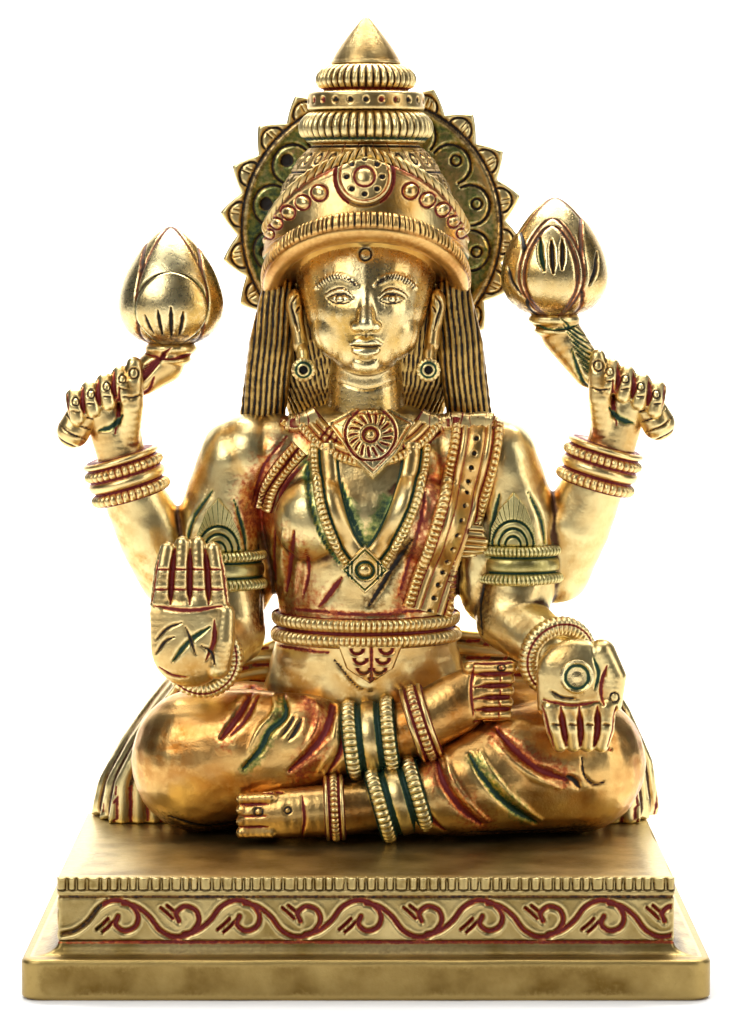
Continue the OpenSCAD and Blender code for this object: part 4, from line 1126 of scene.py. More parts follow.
def necklace_clasp():
    outline = kite([(0, 5.4), (5.2, 0), (0, -5.2), (-5.2, 0)])

    def relief(x, z, out):
        away = np.hypot(x, z)
        circles = soft(away - 1.7, 0.35)
        bars = soft(np.abs(x) - 3.4, 0.22) + soft(np.abs(x) - 2.6, 0.2) * (np.abs(z) < 2)
        rim = soft(out - 0.8, 0.05)
        cut = np.clip(circles + bars * 0.8 + rim * 0.7, 0, 1)
        return 2.0 - 0.5 * cut + 0.7 * bump(away, 0, 1.2) - 0.6 * smooth_step(0.9, 1, out), {"green": cut}

    piece = plaque("necklace_clasp_plate", torso_tree, (-0.2, 57.8), outline, relief, 120, 2.2)
    return finish(piece, "red_lacquered_brass", polished_brass, "necklace_clasp", rounds=6)


def shoulder_sash():
    half = 5.6

    def relief(run, aside):
        edges = np.maximum(bump(aside, 4.5, 1.05), bump(aside, -4.5, 1.05))
        row = reeds(run, 1.15)
        plain = np.maximum(bump(aside, 2.6, 0.75), bump(aside, -2.6, 0.75))
        middle = bump(aside, 0, 1.85)
        dots = np.exp(-((np.hypot((run % 2.9) - 1.45, aside) / 0.5) ** 4))
        height = 0.35 + edges * (0.65 + 0.9 * row) + plain * 0.8 + middle * 0.85 - 0.7 * dots
        groove = smooth_step(0.5, 0.15, np.maximum(np.maximum(edges, plain), middle))
        red = np.maximum(groove, edges * smooth_step(0.45, 0.2, row) * 0.75)
        return height, {"red": red, "dark": dots}

    knots = [(23.6, 92), (23.8, 88), (23, 82), (20.6, 72), (17.6, 62), (14.8, 54), (13, 48.4)]
    piece = ribbon("shoulder_sash_bands", body_tree, knots, 2 * half, relief, 560, 64, taut=700)
    return finish(piece, "red_lacquered_brass", red_brass, "shoulder_sash", rounds=8)


def sleeve_trim():
    half = 2.2

    def relief(run, aside):
        rows = np.maximum(bump(aside, 1.1, 0.95), bump(aside, -1.1, 0.95))
        row = reeds(run, 1.0)
        height = 0.2 + rows * (0.5 + 0.7 * row)
        return height, {"red": np.maximum(smooth_step(0.5, 0.2, rows),
                                          smooth_step(0.4, 0.2, row) * rows * 0.8)}

    piece = ribbon("sleeve_trim_bands", body_tree, [(-14, 83), (-17.6, 79), (-20.4, 74.6), (-22, 69.6)],
                   2 * half,
                   relief, 260, 26)
    return finish(piece, "red_lacquered_brass", red_brass, "sleeve_trim", rounds=8)


def armlet(name, node, target, side, lift):
    """Two reeded bands with a plain one between them, and a leaf standing on them."""
    def relief(angle, up):
        row = reeds(angle * 9.6, 0.95)
        bands = np.maximum(bump(up, 3, 1.25), bump(up, -3, 1.25))
        plain = bump(up, 0, 1.5)
        height = 0.2 + bands * (0.6 + 0.8 * row) + plain * 0.7
        groove = smooth_step(0.5, 0.15, np.maximum(bands, plain))
        return height, {"green": np.maximum(groove, bands * smooth_step(0.45, 0.2, row) * 0.8)}

    band = wrap(name + "_bands", target, (side * 32, 3), 56.8 + lift, 8.6, relief, 420, 40)
    outline = kite([(0, 6.6), (2.6, 3.4), (4.4, -1.4), (4.6, -5), (-4.6, -5), (-4.4, -1.4), (-2.6, 3.4)])

    def leaf_relief(x, z, out):
        arcs = sum(np.exp(-(((np.hypot(x, (z + 5) * 0.72) - r) / 0.22) ** 2)) for r in (1.5, 2.7, 3.9))
        beyond = np.hypot(x, (z + 5) * 0.72) > 3.9
        hatch = smooth_step(0.5, 0.2, reeds(np.arctan2(x, z + 5) * 9, 1.0)) * beyond
        cut = np.clip(arcs + hatch * 0.7, 0, 1)
        return 1.4 - 0.5 * cut - 0.5 * smooth_step(0.9, 1, out), {"green": cut}

    leaf = plaque(name + "_leaf", target, (side * 31.4, 66 + lift), outline, leaf_relief, 120, 1.6)
    for piece in (band, leaf):
        finish(piece, "green_lacquered_brass", green_brass, node, rounds=8)


waist_belt()
belt_pendant()
collar()
collar_pendant()
long_necklace()
necklace_clasp()
shoulder_sash()
sleeve_trim()
armlet("right_armlet", "right_armlet", right_arm_tree, -1, 0)
armlet("left_armlet", "left_armlet", left_arm_tree, 1, 1.2)

# ---------- hands, lotuses and the rings on the wrists ----------

RIGHT_BUD = (-41.6, 2, 105)
LEFT_BUD = (40.2, 2, 111.2)
LEFT_LIFT = 1.6  # how much higher the left hand is held


def rear_hand(name, node, side, lift):
    """A hand closed on a lotus stem, its thumb up."""
    balls = limb([((side * 52.2, 2.4, 80 + lift), (5.2, 5, 4)),
                  ((side * 54, 1.6, 88 + lift), (5.6, 4.6, 5.4)),
                  ((side * 56.6, 1.2, 91.5 + lift), (4.8, 4.2, 4.6))])
    strokes = []
    for n in range(4):
        x, z = 61.6 - n * 3.3, 91.6 + n * 1.6 + lift
        balls += finger([(side * x, 2, z, 1.9), (side * (x + 0.4), -2.4, z + 2.2, 2.0),
                         (side * (x + 0.1), -4, z + 0.4, 1.9), (side * (x - 0.4), -4.2, z - 2.2, 1.7)])
        strokes.append(("red", 0.8, 0.6,
                        [(side * (x + 1.9), z + 3), (side * (x + 1.9), z), (side * (x + 1.4), z - 2.6)]))
        strokes.append(("dark", 0.35, 0.25, ring_of(side * (x - 0.1), z + 1.4, 0.85, 10)))
        strokes.append(("dark", 0.4, 0.25, [(side * (x - 1), z - 0.8), (side * (x + 1), z - 0.6)]))
    balls += finger([(side * 51, 0, 85 + lift, 2.8), (side * 49.8, -2.8, 92 + lift, 2.6),
                     (side * 49.4, -3.4, 97 + lift, 2.2), (side * 49.2, -3.2, 100.8 + lift, 1.7)])
    strokes += [("dark", 0.45, 0.3, ring_of(side * 49.2, 99 + lift, 1.1, 12)),
                ("dark", 0.5, 0.35,
                 [(side * 47.6, 94.4 + lift), (side * 49.6, 93.8 + lift), (side * 51.8, 94.2 + lift)]),
                ("green", 1.2, 0.4,
                 [(side * 51.8, 90 + lift), (side * 54, 87.6 + lift), (side * 57, 86.6 + lift)]),
                ("red", 0.9, 0.4,
                 [(side * 52.4, 96 + lift), (side * 52.6, 91 + lift), (side * 53.4, 86 + lift)])]
    piece = cluster(name, balls, 0.3, 4)
    engrave(piece, strokes)
    return finish(piece, "polished_brass", antique_brass, node, rounds=8)


def lotus_stem(name, node, side, lift, top):
    """A thick stem whose cut end shows under the fist, widening to a ribbed collar below the bud."""
    balls = finger([(side * 62.4, -0.6, 86.4 + lift, 3.6), (side * 61, -0.4, 89 + lift, 3.4),
                    (side * 58.6, 0, 91.4 + lift, 2.9), (side * 54, 0, 94.6 + lift, 2.8),
                    (side * 47.6, 0.4, 97.6 + lift, 3.6), (top[0] + side * 1.6, 1.4, top[2] - 4.2, 4.4)])
    balls += [((top[0], top[1], top[2] - 1), (5.6, 5.4, 2.2)),
              ((top[0] + side * 0.8, 1.6, top[2] - 3.4), (5.2, 5, 1.6))]
    piece = cluster(name, balls, 0.32, 4)
    lacquer = "red" if side < 0 else "green"
    strokes = []
    for n in range(8):
        t = n / 7
        x, z = side * (48.6 - 4.4 * t), 95.2 + lift + (top[2] - 99.4 - lift) * t
        strokes.append((lacquer, 0.55, 0.4,
                        [(x + side * 2.9, z - 0.4), (x, z + 1.2), (x - side * 2.9, z + 3.6)]))
    strokes.append((lacquer, 0.9, 0.4,
                    [(side * 51, 93.4 + lift), (side * 46.4, 95 + lift), (top[0] + side * 3.4, top[2] - 7)]))
    for n in range(5):
        x, z = side * (64.6 - n * 1.5), 84.2 + lift + n * 1.9
        strokes.append(("dark", 0.45, 0.35,
                        [(x - side * 3.4, z - 1.4), (x, z + 0.2), (x + side * 2.2, z + 2)]))
    strokes += [(lacquer, 0.6, 0.5,
                 [(top[0] - 5.4, top[2] - 2), (top[0], top[2] - 3), (top[0] + 5.4, top[2] - 2)])]
    engrave(piece, strokes)
    return finish(piece, "red_lacquered_brass", red_brass if side < 0 else antique_brass, node, rounds=8)


def bud_radius(way):
    return 11.4 * np.sin(math.pi * np.clip(way, 0, 1) ** 0.68) ** 0.58 * (1 - 0.12 * way)


def lotus_bud(name, node, top, petals, strokes):
    """A closed bud, its petals lapped one over another in the order given. A petal is its turn from
    the front, its half width in turns, the height of its tip, how far it stands out and its lacquer."""
    def rule(angle, way):
        rise = np.clip((way - 0.06) / 0.94, 0, 1)
        height = 25.0 * rise
        radius = np.where(way < 0.06, 4.6 * way / 0.06, np.maximum(bud_radius(0.02 + 0.98 * rise), 0.02))
        out = np.zeros(len(angle))
        coats = {"red": np.zeros(len(angle)), "green": np.zeros(len(angle)), "dark": np.zeros(len(angle))}
        for turn, half, tip, lift, lacquer in petals:
            share = np.clip(height / tip, 0, 1)
            wide = half * np.where(share < 0.4, 0.62 + 0.38 * np.sin(share * 1.25 * math.pi),
                                   np.sqrt(np.clip(1 - (np.clip(share - 0.4, 0, 1) / 0.6) ** 2.4, 0, 1)))
            away = np.abs((angle - turn + math.pi) % (2 * math.pi) - math.pi)
            inside = np.where(height < tip, (wide - away) * np.maximum(radius, 1), -3)
            face = smooth_step(-0.1, 0.35, inside)
            line = soft(inside - 0.1, 0.55)
            out = out * (1 - face) + lift * face - 0.5 * line
            for held in coats.values():
                held *= 1 - face
            coats[lacquer] = np.maximum(coats[lacquer], line)
            coats["dark"] = np.maximum(coats["dark"], 0.65 * line)
        fade = np.sin(math.pi * np.clip(rise, 0.02, 0.98)) ** 0.4
        coats["dark"] = np.maximum(coats["dark"], 0.55 * smooth_step(0.3, 0.0, rise))
        return radius + out * fade, np.where(way < 0.06, 0, height), coats

    piece = move(turned(name, rule, 400, 260), *top)
    engrave(piece, [(lacquer, width, depth, [(top[0] + x, top[2] + z) for x, z in knots])
                    for lacquer, width, depth, knots in strokes])
    return finish(piece, "red_lacquered_brass", polished_brass, node, rounds=10)


RIGHT_PETALS = [(math.pi, 1.2, 24, 0.4, "red"), (-1.55, 0.95, 21.5, 0.3, "red"), (1.6, 0.9, 20.5, 0.3, "red"),
                (0.08, 0.76, 30, 0.8, "red"), (0.06, 0.74, 15.4, 1.3, "green")]
RIGHT_SLITS = [
    ("dark", 0.8, 0.7, [(-2.2, 7.4), (-1.9, 4.6), (-1.4, 2.2)]),
    ("dark", 0.9, 0.7, [(0.6, 8), (0.6, 4.8), (0.5, 1.8)]),
    ("dark", 0.8, 0.7, [(3.2, 7), (2.9, 4.4), (2.2, 2)]),
    ("dark", 0.7, 0.5, [(-5, 6.4), (-4.2, 4), (-3.2, 2.2)]),
]
LEFT_PETALS = [(math.pi, 1.2, 24, 0.4, "red"), (0.0, 1.2, 30, 0.3, "red"), (1.2, 0.72, 20.5, 0.6, "red"),
               (-1.3, 0.7, 17.5, 0.5, "dark"), (-0.12, 0.66, 20.5, 0.8, "red"), (-0.12, 0.52, 19, 1.0, "red")]
LEFT_SLITS = [
    ("green", 1.1, 0.9, [(-3.6, 16.4), (-3.5, 13), (-2.8, 9.6)]),
    ("dark", 1.1, 0.9, [(-1.2, 16), (-1.1, 12.4), (-0.9, 9)]),
    ("dark", 1.0, 0.9, [(1.2, 16.4), (1.2, 13), (1, 9.8)]),
    ("dark", 1.0, 0.7, [(8.8, 13.4), (8.4, 9.6), (7, 6.4)]),
    ("dark", 0.8, 0.6, [(-10.2, 10.4), (-9.4, 7), (-7.4, 4.4)]),
]


def rear_bangle(name, node, at, toward):
    piece = arm_ring(name, at, toward, 7.2, 9.8,
                     [(-3.5, 1.35, 1.6, 34, "red"), (-0.6, 1.3, 1.3, 0, "red"), (1.9, 1.2, 1.6, 34, "red"),
                      (4.1, 0.8, 1.2, 0, "red")], depth=5.6)
    return finish(piece, "red_lacquered_brass", red_brass, node, rounds=8)


def front_bangle(name, node, at, toward):
    """A thick corded ring round a wrist that points at the viewer."""
    piece = add("torus", name, major_segments=420, minor_segments=30, major_radius=3, minor_radius=1)
    unit = points(piece)
    angle = np.arctan2(unit[:, 0], -unit[:, 1])
    turn = np.arctan2(unit[:, 2], np.hypot(unit[:, 0], unit[:, 1]) - 3)
    row = reeds(angle, 2 * math.pi / 42)
    outer = soft(turn, 0.9) + soft(np.abs(turn) - 1.5, 0.35)
    seam = soft(np.abs(turn) - 1.05, 0.12)
    tube = 2.2 * (1 - 0.2 * (1 - row) * outer) - 0.3 * seam
    reach, rise = 6.6 + tube * np.cos(turn), tube * np.sin(turn)
    axis = Vector(toward).normalized()
    across = (Vector((0, 0, 1)) - axis * axis.z).normalized()
    side = axis.cross(across)
    put(piece, np.array(at) + np.outer(rise, axis)
        + np.outer(reach * np.cos(angle), across) + np.outer(reach * np.sin(angle), side))
    coat(piece, "red", np.maximum(smooth_step(0.5, 0.2, row) * outer * 0.7, seam))
    edit(piece, ("normals_make_consistent", {"inside": False}))
    return finish(piece, "red_lacquered_brass", antique_brass, node, rounds=8)


def right_hand():
    """Raised to bless, its palm to the front."""
    balls = limb([((-36.8, -17.6, 42.4), (8.4, 3.6, 8.8)), ((-36.8, -17.6, 49), (8.6, 3.3, 4.6))], 6)
    strokes = []
    for n in range(4):
        top = 62.6 + (1.2 if n % 3 > 0 else 0)
        balls += finger([(-43 + n * 4.1, -17.8, 51, 2.3), (-42.4 + n * 3.7, -17.6, 58, 2.05),
                         (-41.6 + n * 3.2, -17, top, 1.65)])
        for z in (54.4, 58.6):
            x = -42.8 + n * 3.85 + (z - 54.4) * (-0.02 - 0.06 * (n - 1.5))
            strokes.append(("red", 0.55, 0.35, [(x - 1.5, z + 0.1), (x + 1.5, z)]))
    for n in range(-1, 4):
        strokes.append(("red", 0.8, 0.7,
                        [(-40.9 + n * 4.05, 51.4), (-40.5 + n * 3.7, 58), (-40 + n * 3.2, 62.8)]))
    balls += finger([(-31, -18.6, 38, 2.6), (-29.6, -19.2, 43.6, 2.3), (-29.2, -18.8, 49.4, 1.9)])
    strokes += [
        ("red", 0.9, 0.4, [(-44.4, 51), (-37, 50.2), (-30, 51)]),
        ("green", 1.1, 0.6, [(-40.4, 39.4), (-37.2, 43.4), (-32.6, 46.6)]),
        ("dark", 0.7, 0.4, [(-37.6, 46.6), (-36.6, 44), (-35.6, 41)]),
        ("dark", 0.6, 0.5, [(-44, 44), (-41.4, 46.4), (-38.4, 47.6)]),
        ("dark", 0.6, 0.5, [(-44, 41), (-42, 43.6), (-40, 44.6)]),
        ("dark", 0.6, 0.4, [(-34.4, 42.8), (-32.4, 41.4), (-31.6, 38.8)]),
        ("red", 0.6, 0.4, [(-43.4, 38), (-40.6, 36.4), (-37.4, 36)]),
        ("red", 0.8, 0.4, [(-31.6, 48), (-31.8, 43.6), (-33.4, 39.6)]),
    ]
    piece = cluster("right_hand_casting", balls, 0.3, 4)
    engrave(piece, strokes)
    return finish(piece, "polished_brass", antique_brass, "right_hand", rounds=8)


def left_hand():
    """Lowered to give, its palm to the front and its fingers down."""
    balls = limb([((44, -19, 36.4), (8.4, 3.4, 7.6)), ((44, -19, 30), (8.2, 3.2, 4.6))], 6)
    strokes = []
    for n in range(4):
        balls += finger([(38.6 + 3.9 * n, -20, 29.6, 2.1), (39.6 + 3.5 * n, -20.4, 25, 1.95),
                         (40.6 + 2.9 * n, -19.8, 21.8, 1.7)])
        strokes.append(("dark", 0.5, 0.35, [(38.6 + 3.6 * n, 26.4), (40.8 + 3.4 * n, 26.2)]))
    for n in range(-1, 4):
        strokes.append(("red", 0.9, 0.6, [(40.6 + 3.9 * n, 30), (41.4 + 3.5 * n, 25), (42 + 2.9 * n, 21.6)]))
    balls += finger([(49.4, -18.8, 41, 3), (52, -19.4, 36, 2.6), (51.8, -20, 30.6, 1.9)])
    strokes += [("red", 0.9, 0.5, [(50.2, 38.6), (49.2, 34.4), (49.6, 30.4)]),
                ("red", 0.7, 0.4, [(37, 31.4), (43, 30.4), (49, 31.2)]),
                ("dark", 0.6, 0.4, [(38.4, 33.4), (41, 32), (44.4, 31.8)]),
                ("green", 0.9, 0.3, [(47.6, 40.2), (48.6, 37), (47.8, 33.8)]),
                ("dark", 0.45, 0.3, ring_of(51.9, 32, 1, 12))]
    piece = cluster("left_hand_casting", balls, 0.3, 4)
    engrave(piece, strokes)
    return finish(piece, "polished_brass", antique_brass, "left_hand", rounds=8)


def palm_coin():
    """The coin in the giving palm: a flat disc with a raised rim."""
    def rule(angle, way):
        radius, height = section(way, [(0, -1.2), (3.6, -1.2), (3.6, 0.7), (3.1, 1.1), (2.5, 0.7), (1.2, 0.6),
                                       (0, 0.8)])
        green = soft(radius - 2.4, 0.4) * (way > 0.4)
        return radius, height, {"green": green}

    piece = turned("palm_coin_disc", rule, 96, 90)
    places = points(piece)
    put(piece, np.stack([44 + places[:, 0], -21.8 - places[:, 2], 36.4 + places[:, 1]], 1))
    edit(piece, ("normals_make_consistent", {"inside": False}))
    return finish(piece, "polished_brass", polished_brass, "palm_coin", rounds=6)


rear_hand("rear_right_hand_casting", "rear_right_hand", -1, 0)
rear_hand("rear_left_hand_casting", "rear_left_hand", 1, LEFT_LIFT)
lotus_stem("right_lotus_stem_casting", "right_lotus_stem", -1, 0, RIGHT_BUD)
lotus_stem("left_lotus_stem_casting", "left_lotus_stem", 1, LEFT_LIFT, LEFT_BUD)
lotus_bud("right_lotus_bud_casting", "right_lotus_bud", RIGHT_BUD, RIGHT_PETALS, RIGHT_SLITS)
lotus_bud("left_lotus_bud_casting", "left_lotus_bud", LEFT_BUD, LEFT_PETALS, LEFT_SLITS)
rear_bangle("rear_right_bangle_rings", "rear_right_bangle", (-51.4, 2.6, 76.6), (-0.28, -0.05, 0.96))
rear_bangle("rear_left_bangle_rings", "rear_left_bangle", (50.2, 2.6, 78.8), (0.28, -0.05, 0.96))
front_bangle("right_bangle_rings", "right_bangle", (-34.4, -13, 39.4), (-0.15, -0.95, 0))
front_bangle("left_bangle_rings", "left_bangle", (40.4, -12.8, 39.6), (0.35, -0.9, -0.2))
right_hand()
left_hand()
palm_coin()

# ---------- head, ears and hair ----------

CHIN, HAIRLINE = 98.8, 127.0
FACE_THIRD = (HAIRLINE - CHIN) / 3
BROW, NOSE = CHIN + 2 * FACE_THIRD, CHIN + FACE_THIRD
MOUTH = NOSE - FACE_THIRD * 0.36
EYE = BROW - 2.7
EYE_WIDTH = 5.3  # a fifth of the face's width
EYE_OUT = 5.4


def press(piece, centre, spread, depth):
    """Presses the front in with a thumb, or with a depth below nothing pulls it out."""
    places, out = points(piece), normals(piece)
    fall = np.exp(-((places[:, 0] - centre[0]) / spread[0]) ** 2
                  - ((places[:, 2] - centre[1]) / spread[1]) ** 2)
    front = smooth_step(0.0, 0.5, -out[:, 1])
    places[:, 1] += depth * fall * front
    put(piece, places)


def head():
    """A calm, even face on the usual proportions: brow, nose and chin a third apart."""
    balls = limb([((0, 4, 122), (15.6, 15, 14)), ((0, -0.5, 113), (13.2, 13, 11)),
                  ((0, -5, 103.8), (7.6, 7.2, 5.2))], 9)
    balls += limb([((0, 3, 102), (7.6, 7.2, 6)), ((0, 4, 88), (8.8, 8.2, 5))], 12)
    balls += both_sides((5.2, -5.2, 108.4), (6.2, 5.6, 7.0))
    balls += [((0, -9.6, BROW - 4), (3.6, 3.0, 7))]
    balls += [((0, -10.2, CHIN + 2.7), (3.4, 2.6, 2.7))]
    balls += finger([(0, -10.4, BROW - 0.6, 2.3), (0, -12.5, NOSE + 4.6, 1.9), (0, -14.4, NOSE + 1.5, 2.0)])
    balls += both_sides((1.9, -13.5, NOSE + 0.9), (1.4, 1.6, 1.15))
    piece = cluster("head_casting", balls, 0.3, 16)
    for side in (-1, 1):
        press(piece, (side * EYE_OUT, EYE + 0.2), (3.4, 2.0), 0.9)
        press(piece, (side * EYE_OUT, EYE), (2.1, 1.1), -1.0)
    press(piece, (0, MOUTH), (4.0, 2.2), -0.9)
    strokes = [(None, 1.5, -0.5, [(-3.2, MOUTH + 0.5), (-1.3, MOUTH + 1.15), (0, MOUTH + 0.9),
                                  (1.3, MOUTH + 1.15), (3.2, MOUTH + 0.5)]),
               (None, 1.8, -0.65, [(-2.5, MOUTH - 0.7), (0, MOUTH - 1.35), (2.5, MOUTH - 0.7)]),
               ("dark", 0.5, 0.6, [(-3.5, MOUTH + 0.5), (-1.6, MOUTH + 0.05), (0, MOUTH + 0.1),
                                   (1.6, MOUTH + 0.05), (3.5, MOUTH + 0.5)]),
               (None, 1.2, 0.4, [(-2, MOUTH - 2.6), (0, MOUTH - 3), (2, MOUTH - 2.6)]),
               (None, 0.9, 0.25, [(0, NOSE - 0.6), (0, MOUTH + 1.6)]),
               ("dark", 0.45, 0.3, [(-1.3, NOSE), (-0.6, NOSE - 0.2)]),
               ("dark", 0.45, 0.3, [(1.3, NOSE), (0.6, NOSE - 0.2)]),
               ("dark", 0.5, 0.3, ring_of(-0.1, BROW + 6.6, 1.25))]
    for side in (-1, 1):
        def spot(across, up):
            return (side * (EYE_OUT + across), EYE + up)
        half = EYE_WIDTH / 2
        upper = [spot(-half, -0.25), spot(-1.4, 0.85), spot(0.1, 1.15), spot(1.5, 0.8),
                 spot(half + 0.3, 0.05)]
        lower = [spot(-half, -0.25), spot(-1.2, -0.95), spot(0.3, -1.1), spot(1.6, -0.75),
                 spot(half + 0.3, 0.05)]
        crease = [spot(-half, 0.6), spot(-1.2, 1.95), spot(0.2, 2.25), spot(1.8, 1.75), spot(half + 0.8, 0.8)]
        brow = [spot(-3.6, 2.7), spot(-1.6, 4.0), spot(0.8, 4.5), spot(3.2, 3.8), spot(5.2, 2.2)]
        strokes += [(None, 0.8, -0.35, [(x, z + 0.45) for x, z in upper]),
                    ("dark", 0.42, 0.4, upper), ("dark", 0.36, 0.3, lower),
                    ("dark", 0.36, 0.25, crease),
                    ("dark", 0.3, 0.25, ring_of(side * (EYE_OUT + 0.15), EYE, 0.85, 12)),
                    (None, 1.4, -0.45, brow)]
        path = curve(brow, 4)
        for n in range(1, len(path) - 1):
            x, z = path[n]
            strokes.append(("dark", 0.32, 0.35, [(x - side * 0.35, z - 0.65), (x + side * 0.35, z + 0.65)]))
    strokes.append((None, 0.7, 0.3, [(-7, 97.4), (0, 95.6), (7, 97.4)]))
    engrave(piece, strokes, facing=0.1)
    return finish(piece, "polished_brass", polished_brass, "head", rounds=12)


def ear(name, node, side):
    balls = limb([((side * 15.2, 0, 113.4), (1.9, 3, 3.4)), ((side * 14.6, -0.6, 109), (1.5, 2.2, 3)),
                  ((side * 14, -1.4, 105.2), (1.7, 2.2, 2.2))])
    piece = cluster(name, balls, 0.22, 4)
    engrave(piece, [("dark", 0.7, 0.5,
                     [(side * 14.6, 115.4), (side * 16, 113.4), (side * 15.2, 110.6), (side * 14.4, 108)]),
                    ("dark", 0.6, 0.4, [(side * 14, 113), (side * 14.8, 111.8)])], facing=-0.2)
    return finish(piece, "polished_brass", antique_brass, node, rounds=8)


def earring(name, node, side):
    """A ball with a drilled eye, in a collar of grains."""
    def rule(angle, way):
        polar = way * math.pi
        radius, height = 2.55 * np.sin(polar), -2.55 * np.cos(polar)
        collar = soft(polar - 2.15, 0.2)
        row = reeds(angle, 2 * math.pi / 14)
        eye = smooth_step(2.74, 2.86, polar)
        height = height - 1.2 * eye
        return radius + 0.4 * collar * (0.4 + 0.6 * row), height, {"dark": eye,
                                                                   "green": soft(polar - 2.5, 0.12)}

    ball = turned(name, rule, 84, 60)
    places = points(ball)
    put(ball, np.stack([side * 13.2 + places[:, 0], -6 - places[:, 2], 99.8 + places[:, 1]], 1))
    edit(ball, ("normals_make_consistent", {"inside": False}))
    hook = cluster(name + "_hook", finger([(side * 13.2, -5.2, 101.8, 1.0), (side * 13.3, -4, 103.2, 1.3),
                                           (side * 13.6, -2.6, 104.6, 1.1)]), 0.2, 3)
    for piece in (ball, hook):
        finish(piece, "polished_brass", antique_brass, node, rounds=8)


def strands(piece, centre_x, spread, depth, wave):
    """Combs straight locks down a mass of hair."""
    places, out = points(piece), normals(piece)
    turn = np.arctan2(places[:, 0] - centre_x, -(places[:, 1] - 12))
    lock = turn * spread + wave * np.sin(places[:, 2] * 0.12)
    row = reeds(lock, 1.0, 0.7)
    side = smooth_step(0.9, 0.6, np.abs(out[:, 2]))
    put(piece, places + out * ((row - 0.75) * depth * side)[:, None])
    coat(piece, "dark", smooth_step(0.85, 0.45, row) * side)


def side_hair(name, node, side):
    piece = cluster(name, limb([((side * 18.5, 5, 116), (4, 4.5, 3.5)), ((side * 20.3, 5, 104), (5, 4.6, 6)),
                                ((side * 22.2, 7, 90), (5.0, 4.4, 4.0))]), 0.32, 6)
    places, out = points(piece), normals(piece)
    lean = places[:, 0] - side * (20.4 + (104 - places[:, 2]) * 0.09)
    row = reeds(lean + 0.1 * np.sin(places[:, 2] * 0.4) + 0.05 * np.sin(places[:, 2] * 1.3 + lean * 4), 1.25,
                0.8)
    front = smooth_step(0.1, 0.45, -out[:, 1])
    put(piece, places + out * ((row - 0.75) * 0.6 * front)[:, None])
    coat(piece, "dark", smooth_step(0.85, 0.45, row) * front)
    return finish(piece, "darkened_brass", hair_brass, node, rounds=8)


def back_hair():
    piece = cluster("back_hair_casting", limb([((0, 9, 118), (18, 10, 13)), ((0, 11, 98), (19, 8, 9)),
                                               ((0, 15, 80), (14, 6, 9))]), 0.45, 6)
    places = points(piece)
    places[:, 1] = np.minimum(places[:, 1], 16.8 + 20 * (places[:, 2] < 96))
    put(piece, places)
    strands(piece, 0, 15.0, 0.8, 0.5)
    return finish(piece, "darkened_brass", hair_brass, "back_hair", rounds=8)


head()
ear("right_ear_casting", "right_ear", -1)
ear("left_ear_casting", "left_ear", 1)
earring("right_earring_ball", "right_earring", -1)
earring("left_earring_ball", "left_earring", 1)
side_hair("right_hair_casting", "right_hair", -1)
side_hair("left_hair_casting", "left_hair", 1)
back_hair()

# ---------- crown ----------

CROWN_R = 20.5
BROW_Z = 118.5
BROW_TILT = math.radians(30)
DOME_Z, DOME_H = 125.0, 27.0
TIER_Z = 147.6
HALO_FACE = 16.95  # just in front of the halo's own front


def dome_radius(z):
    """The dome's radius at a height: straight below its shoulder, an ellipse above it."""
    rise = np.clip((np.asarray(z, float) - DOME_Z) / DOME_H, 0, 0.999)
    return CROWN_R * np.sqrt(1 - rise**2)


def on_dome(angle, z, out):
    """A point standing out of the dome at an angle from the front and a height."""
    rise = np.clip((z - DOME_Z) / DOME_H, 0, 0.98)
    slope = np.arctan2(rise * CROWN_R / DOME_H, np.sqrt(1 - rise**2))
    radius = dome_radius(z) + out * np.cos(slope)
    return np.stack([radius * np.sin(angle), CROWN_Y - radius * np.cos(angle), z + out * np.sin(slope)], 1)


def dome_piece(piece, angle, z, out, lacquers, thickness=1.4):
    base = on_dome(angle, z, np.zeros(len(z)))
    return raised(piece, base, on_dome(angle, z, np.ones(len(z))) - base, out, lacquers, thickness)


def seat_on_halo(piece):
    """Flattens a piece's back where the halo lies against it."""
    places = points(piece)
    places[:, 1] = np.minimum(places[:, 1], HALO_FACE)
    put(piece, places)


def crown_brow_band():
    """The padded roll across the brow, tipped up at the front."""
    piece = add("torus", "crown_brow_roll", major_segments=256, minor_segments=14, major_radius=3,
                minor_radius=1)
    modify(piece, "SUBSURF", levels=2, subdivision_type="SIMPLE")
    unit = points(piece)
    angle = np.arctan2(unit[:, 0], -unit[:, 1])
    turn = np.arctan2(unit[:, 2], np.hypot(unit[:, 0], unit[:, 1]) - 3)
    up, out = np.sin(turn) * 3.0, np.cos(turn) * 2.6
    row = reeds(angle * 19 + 0.2 * np.sin(angle * 31), 1.0, 1.0)
    top_half = smooth_step(-0.45, -0.25, np.sin(turn)) * smooth_step(-0.3, 0.1, np.cos(turn))
    cut = smooth_step(0.62, 0.2, row) * top_half
    edge = soft(np.sin(turn) + 0.48, 0.08) * (np.cos(turn) > 0)
    out = out - 0.4 * cut - 0.3 * edge
    radius = 19.9 + out
    tilt = math.tan(BROW_TILT)
    front_z = BROW_Z + tilt * radius * np.cos(angle)
    places = np.stack([radius * np.sin(angle),
                       CROWN_Y - radius * np.cos(angle) + up * math.sin(BROW_TILT) * 0.4,
                       front_z + up * 0.98], 1)
    put(piece, places)
    seat_on_halo(piece)
    coat(piece, "dark", np.maximum(cut * 0.9, edge * 0.6))
    edit(piece, ("normals_make_consistent", {"inside": False}))
    return finish(piece, "red_lacquered_brass", coppery_brass, "crown_brow_band", rounds=8)


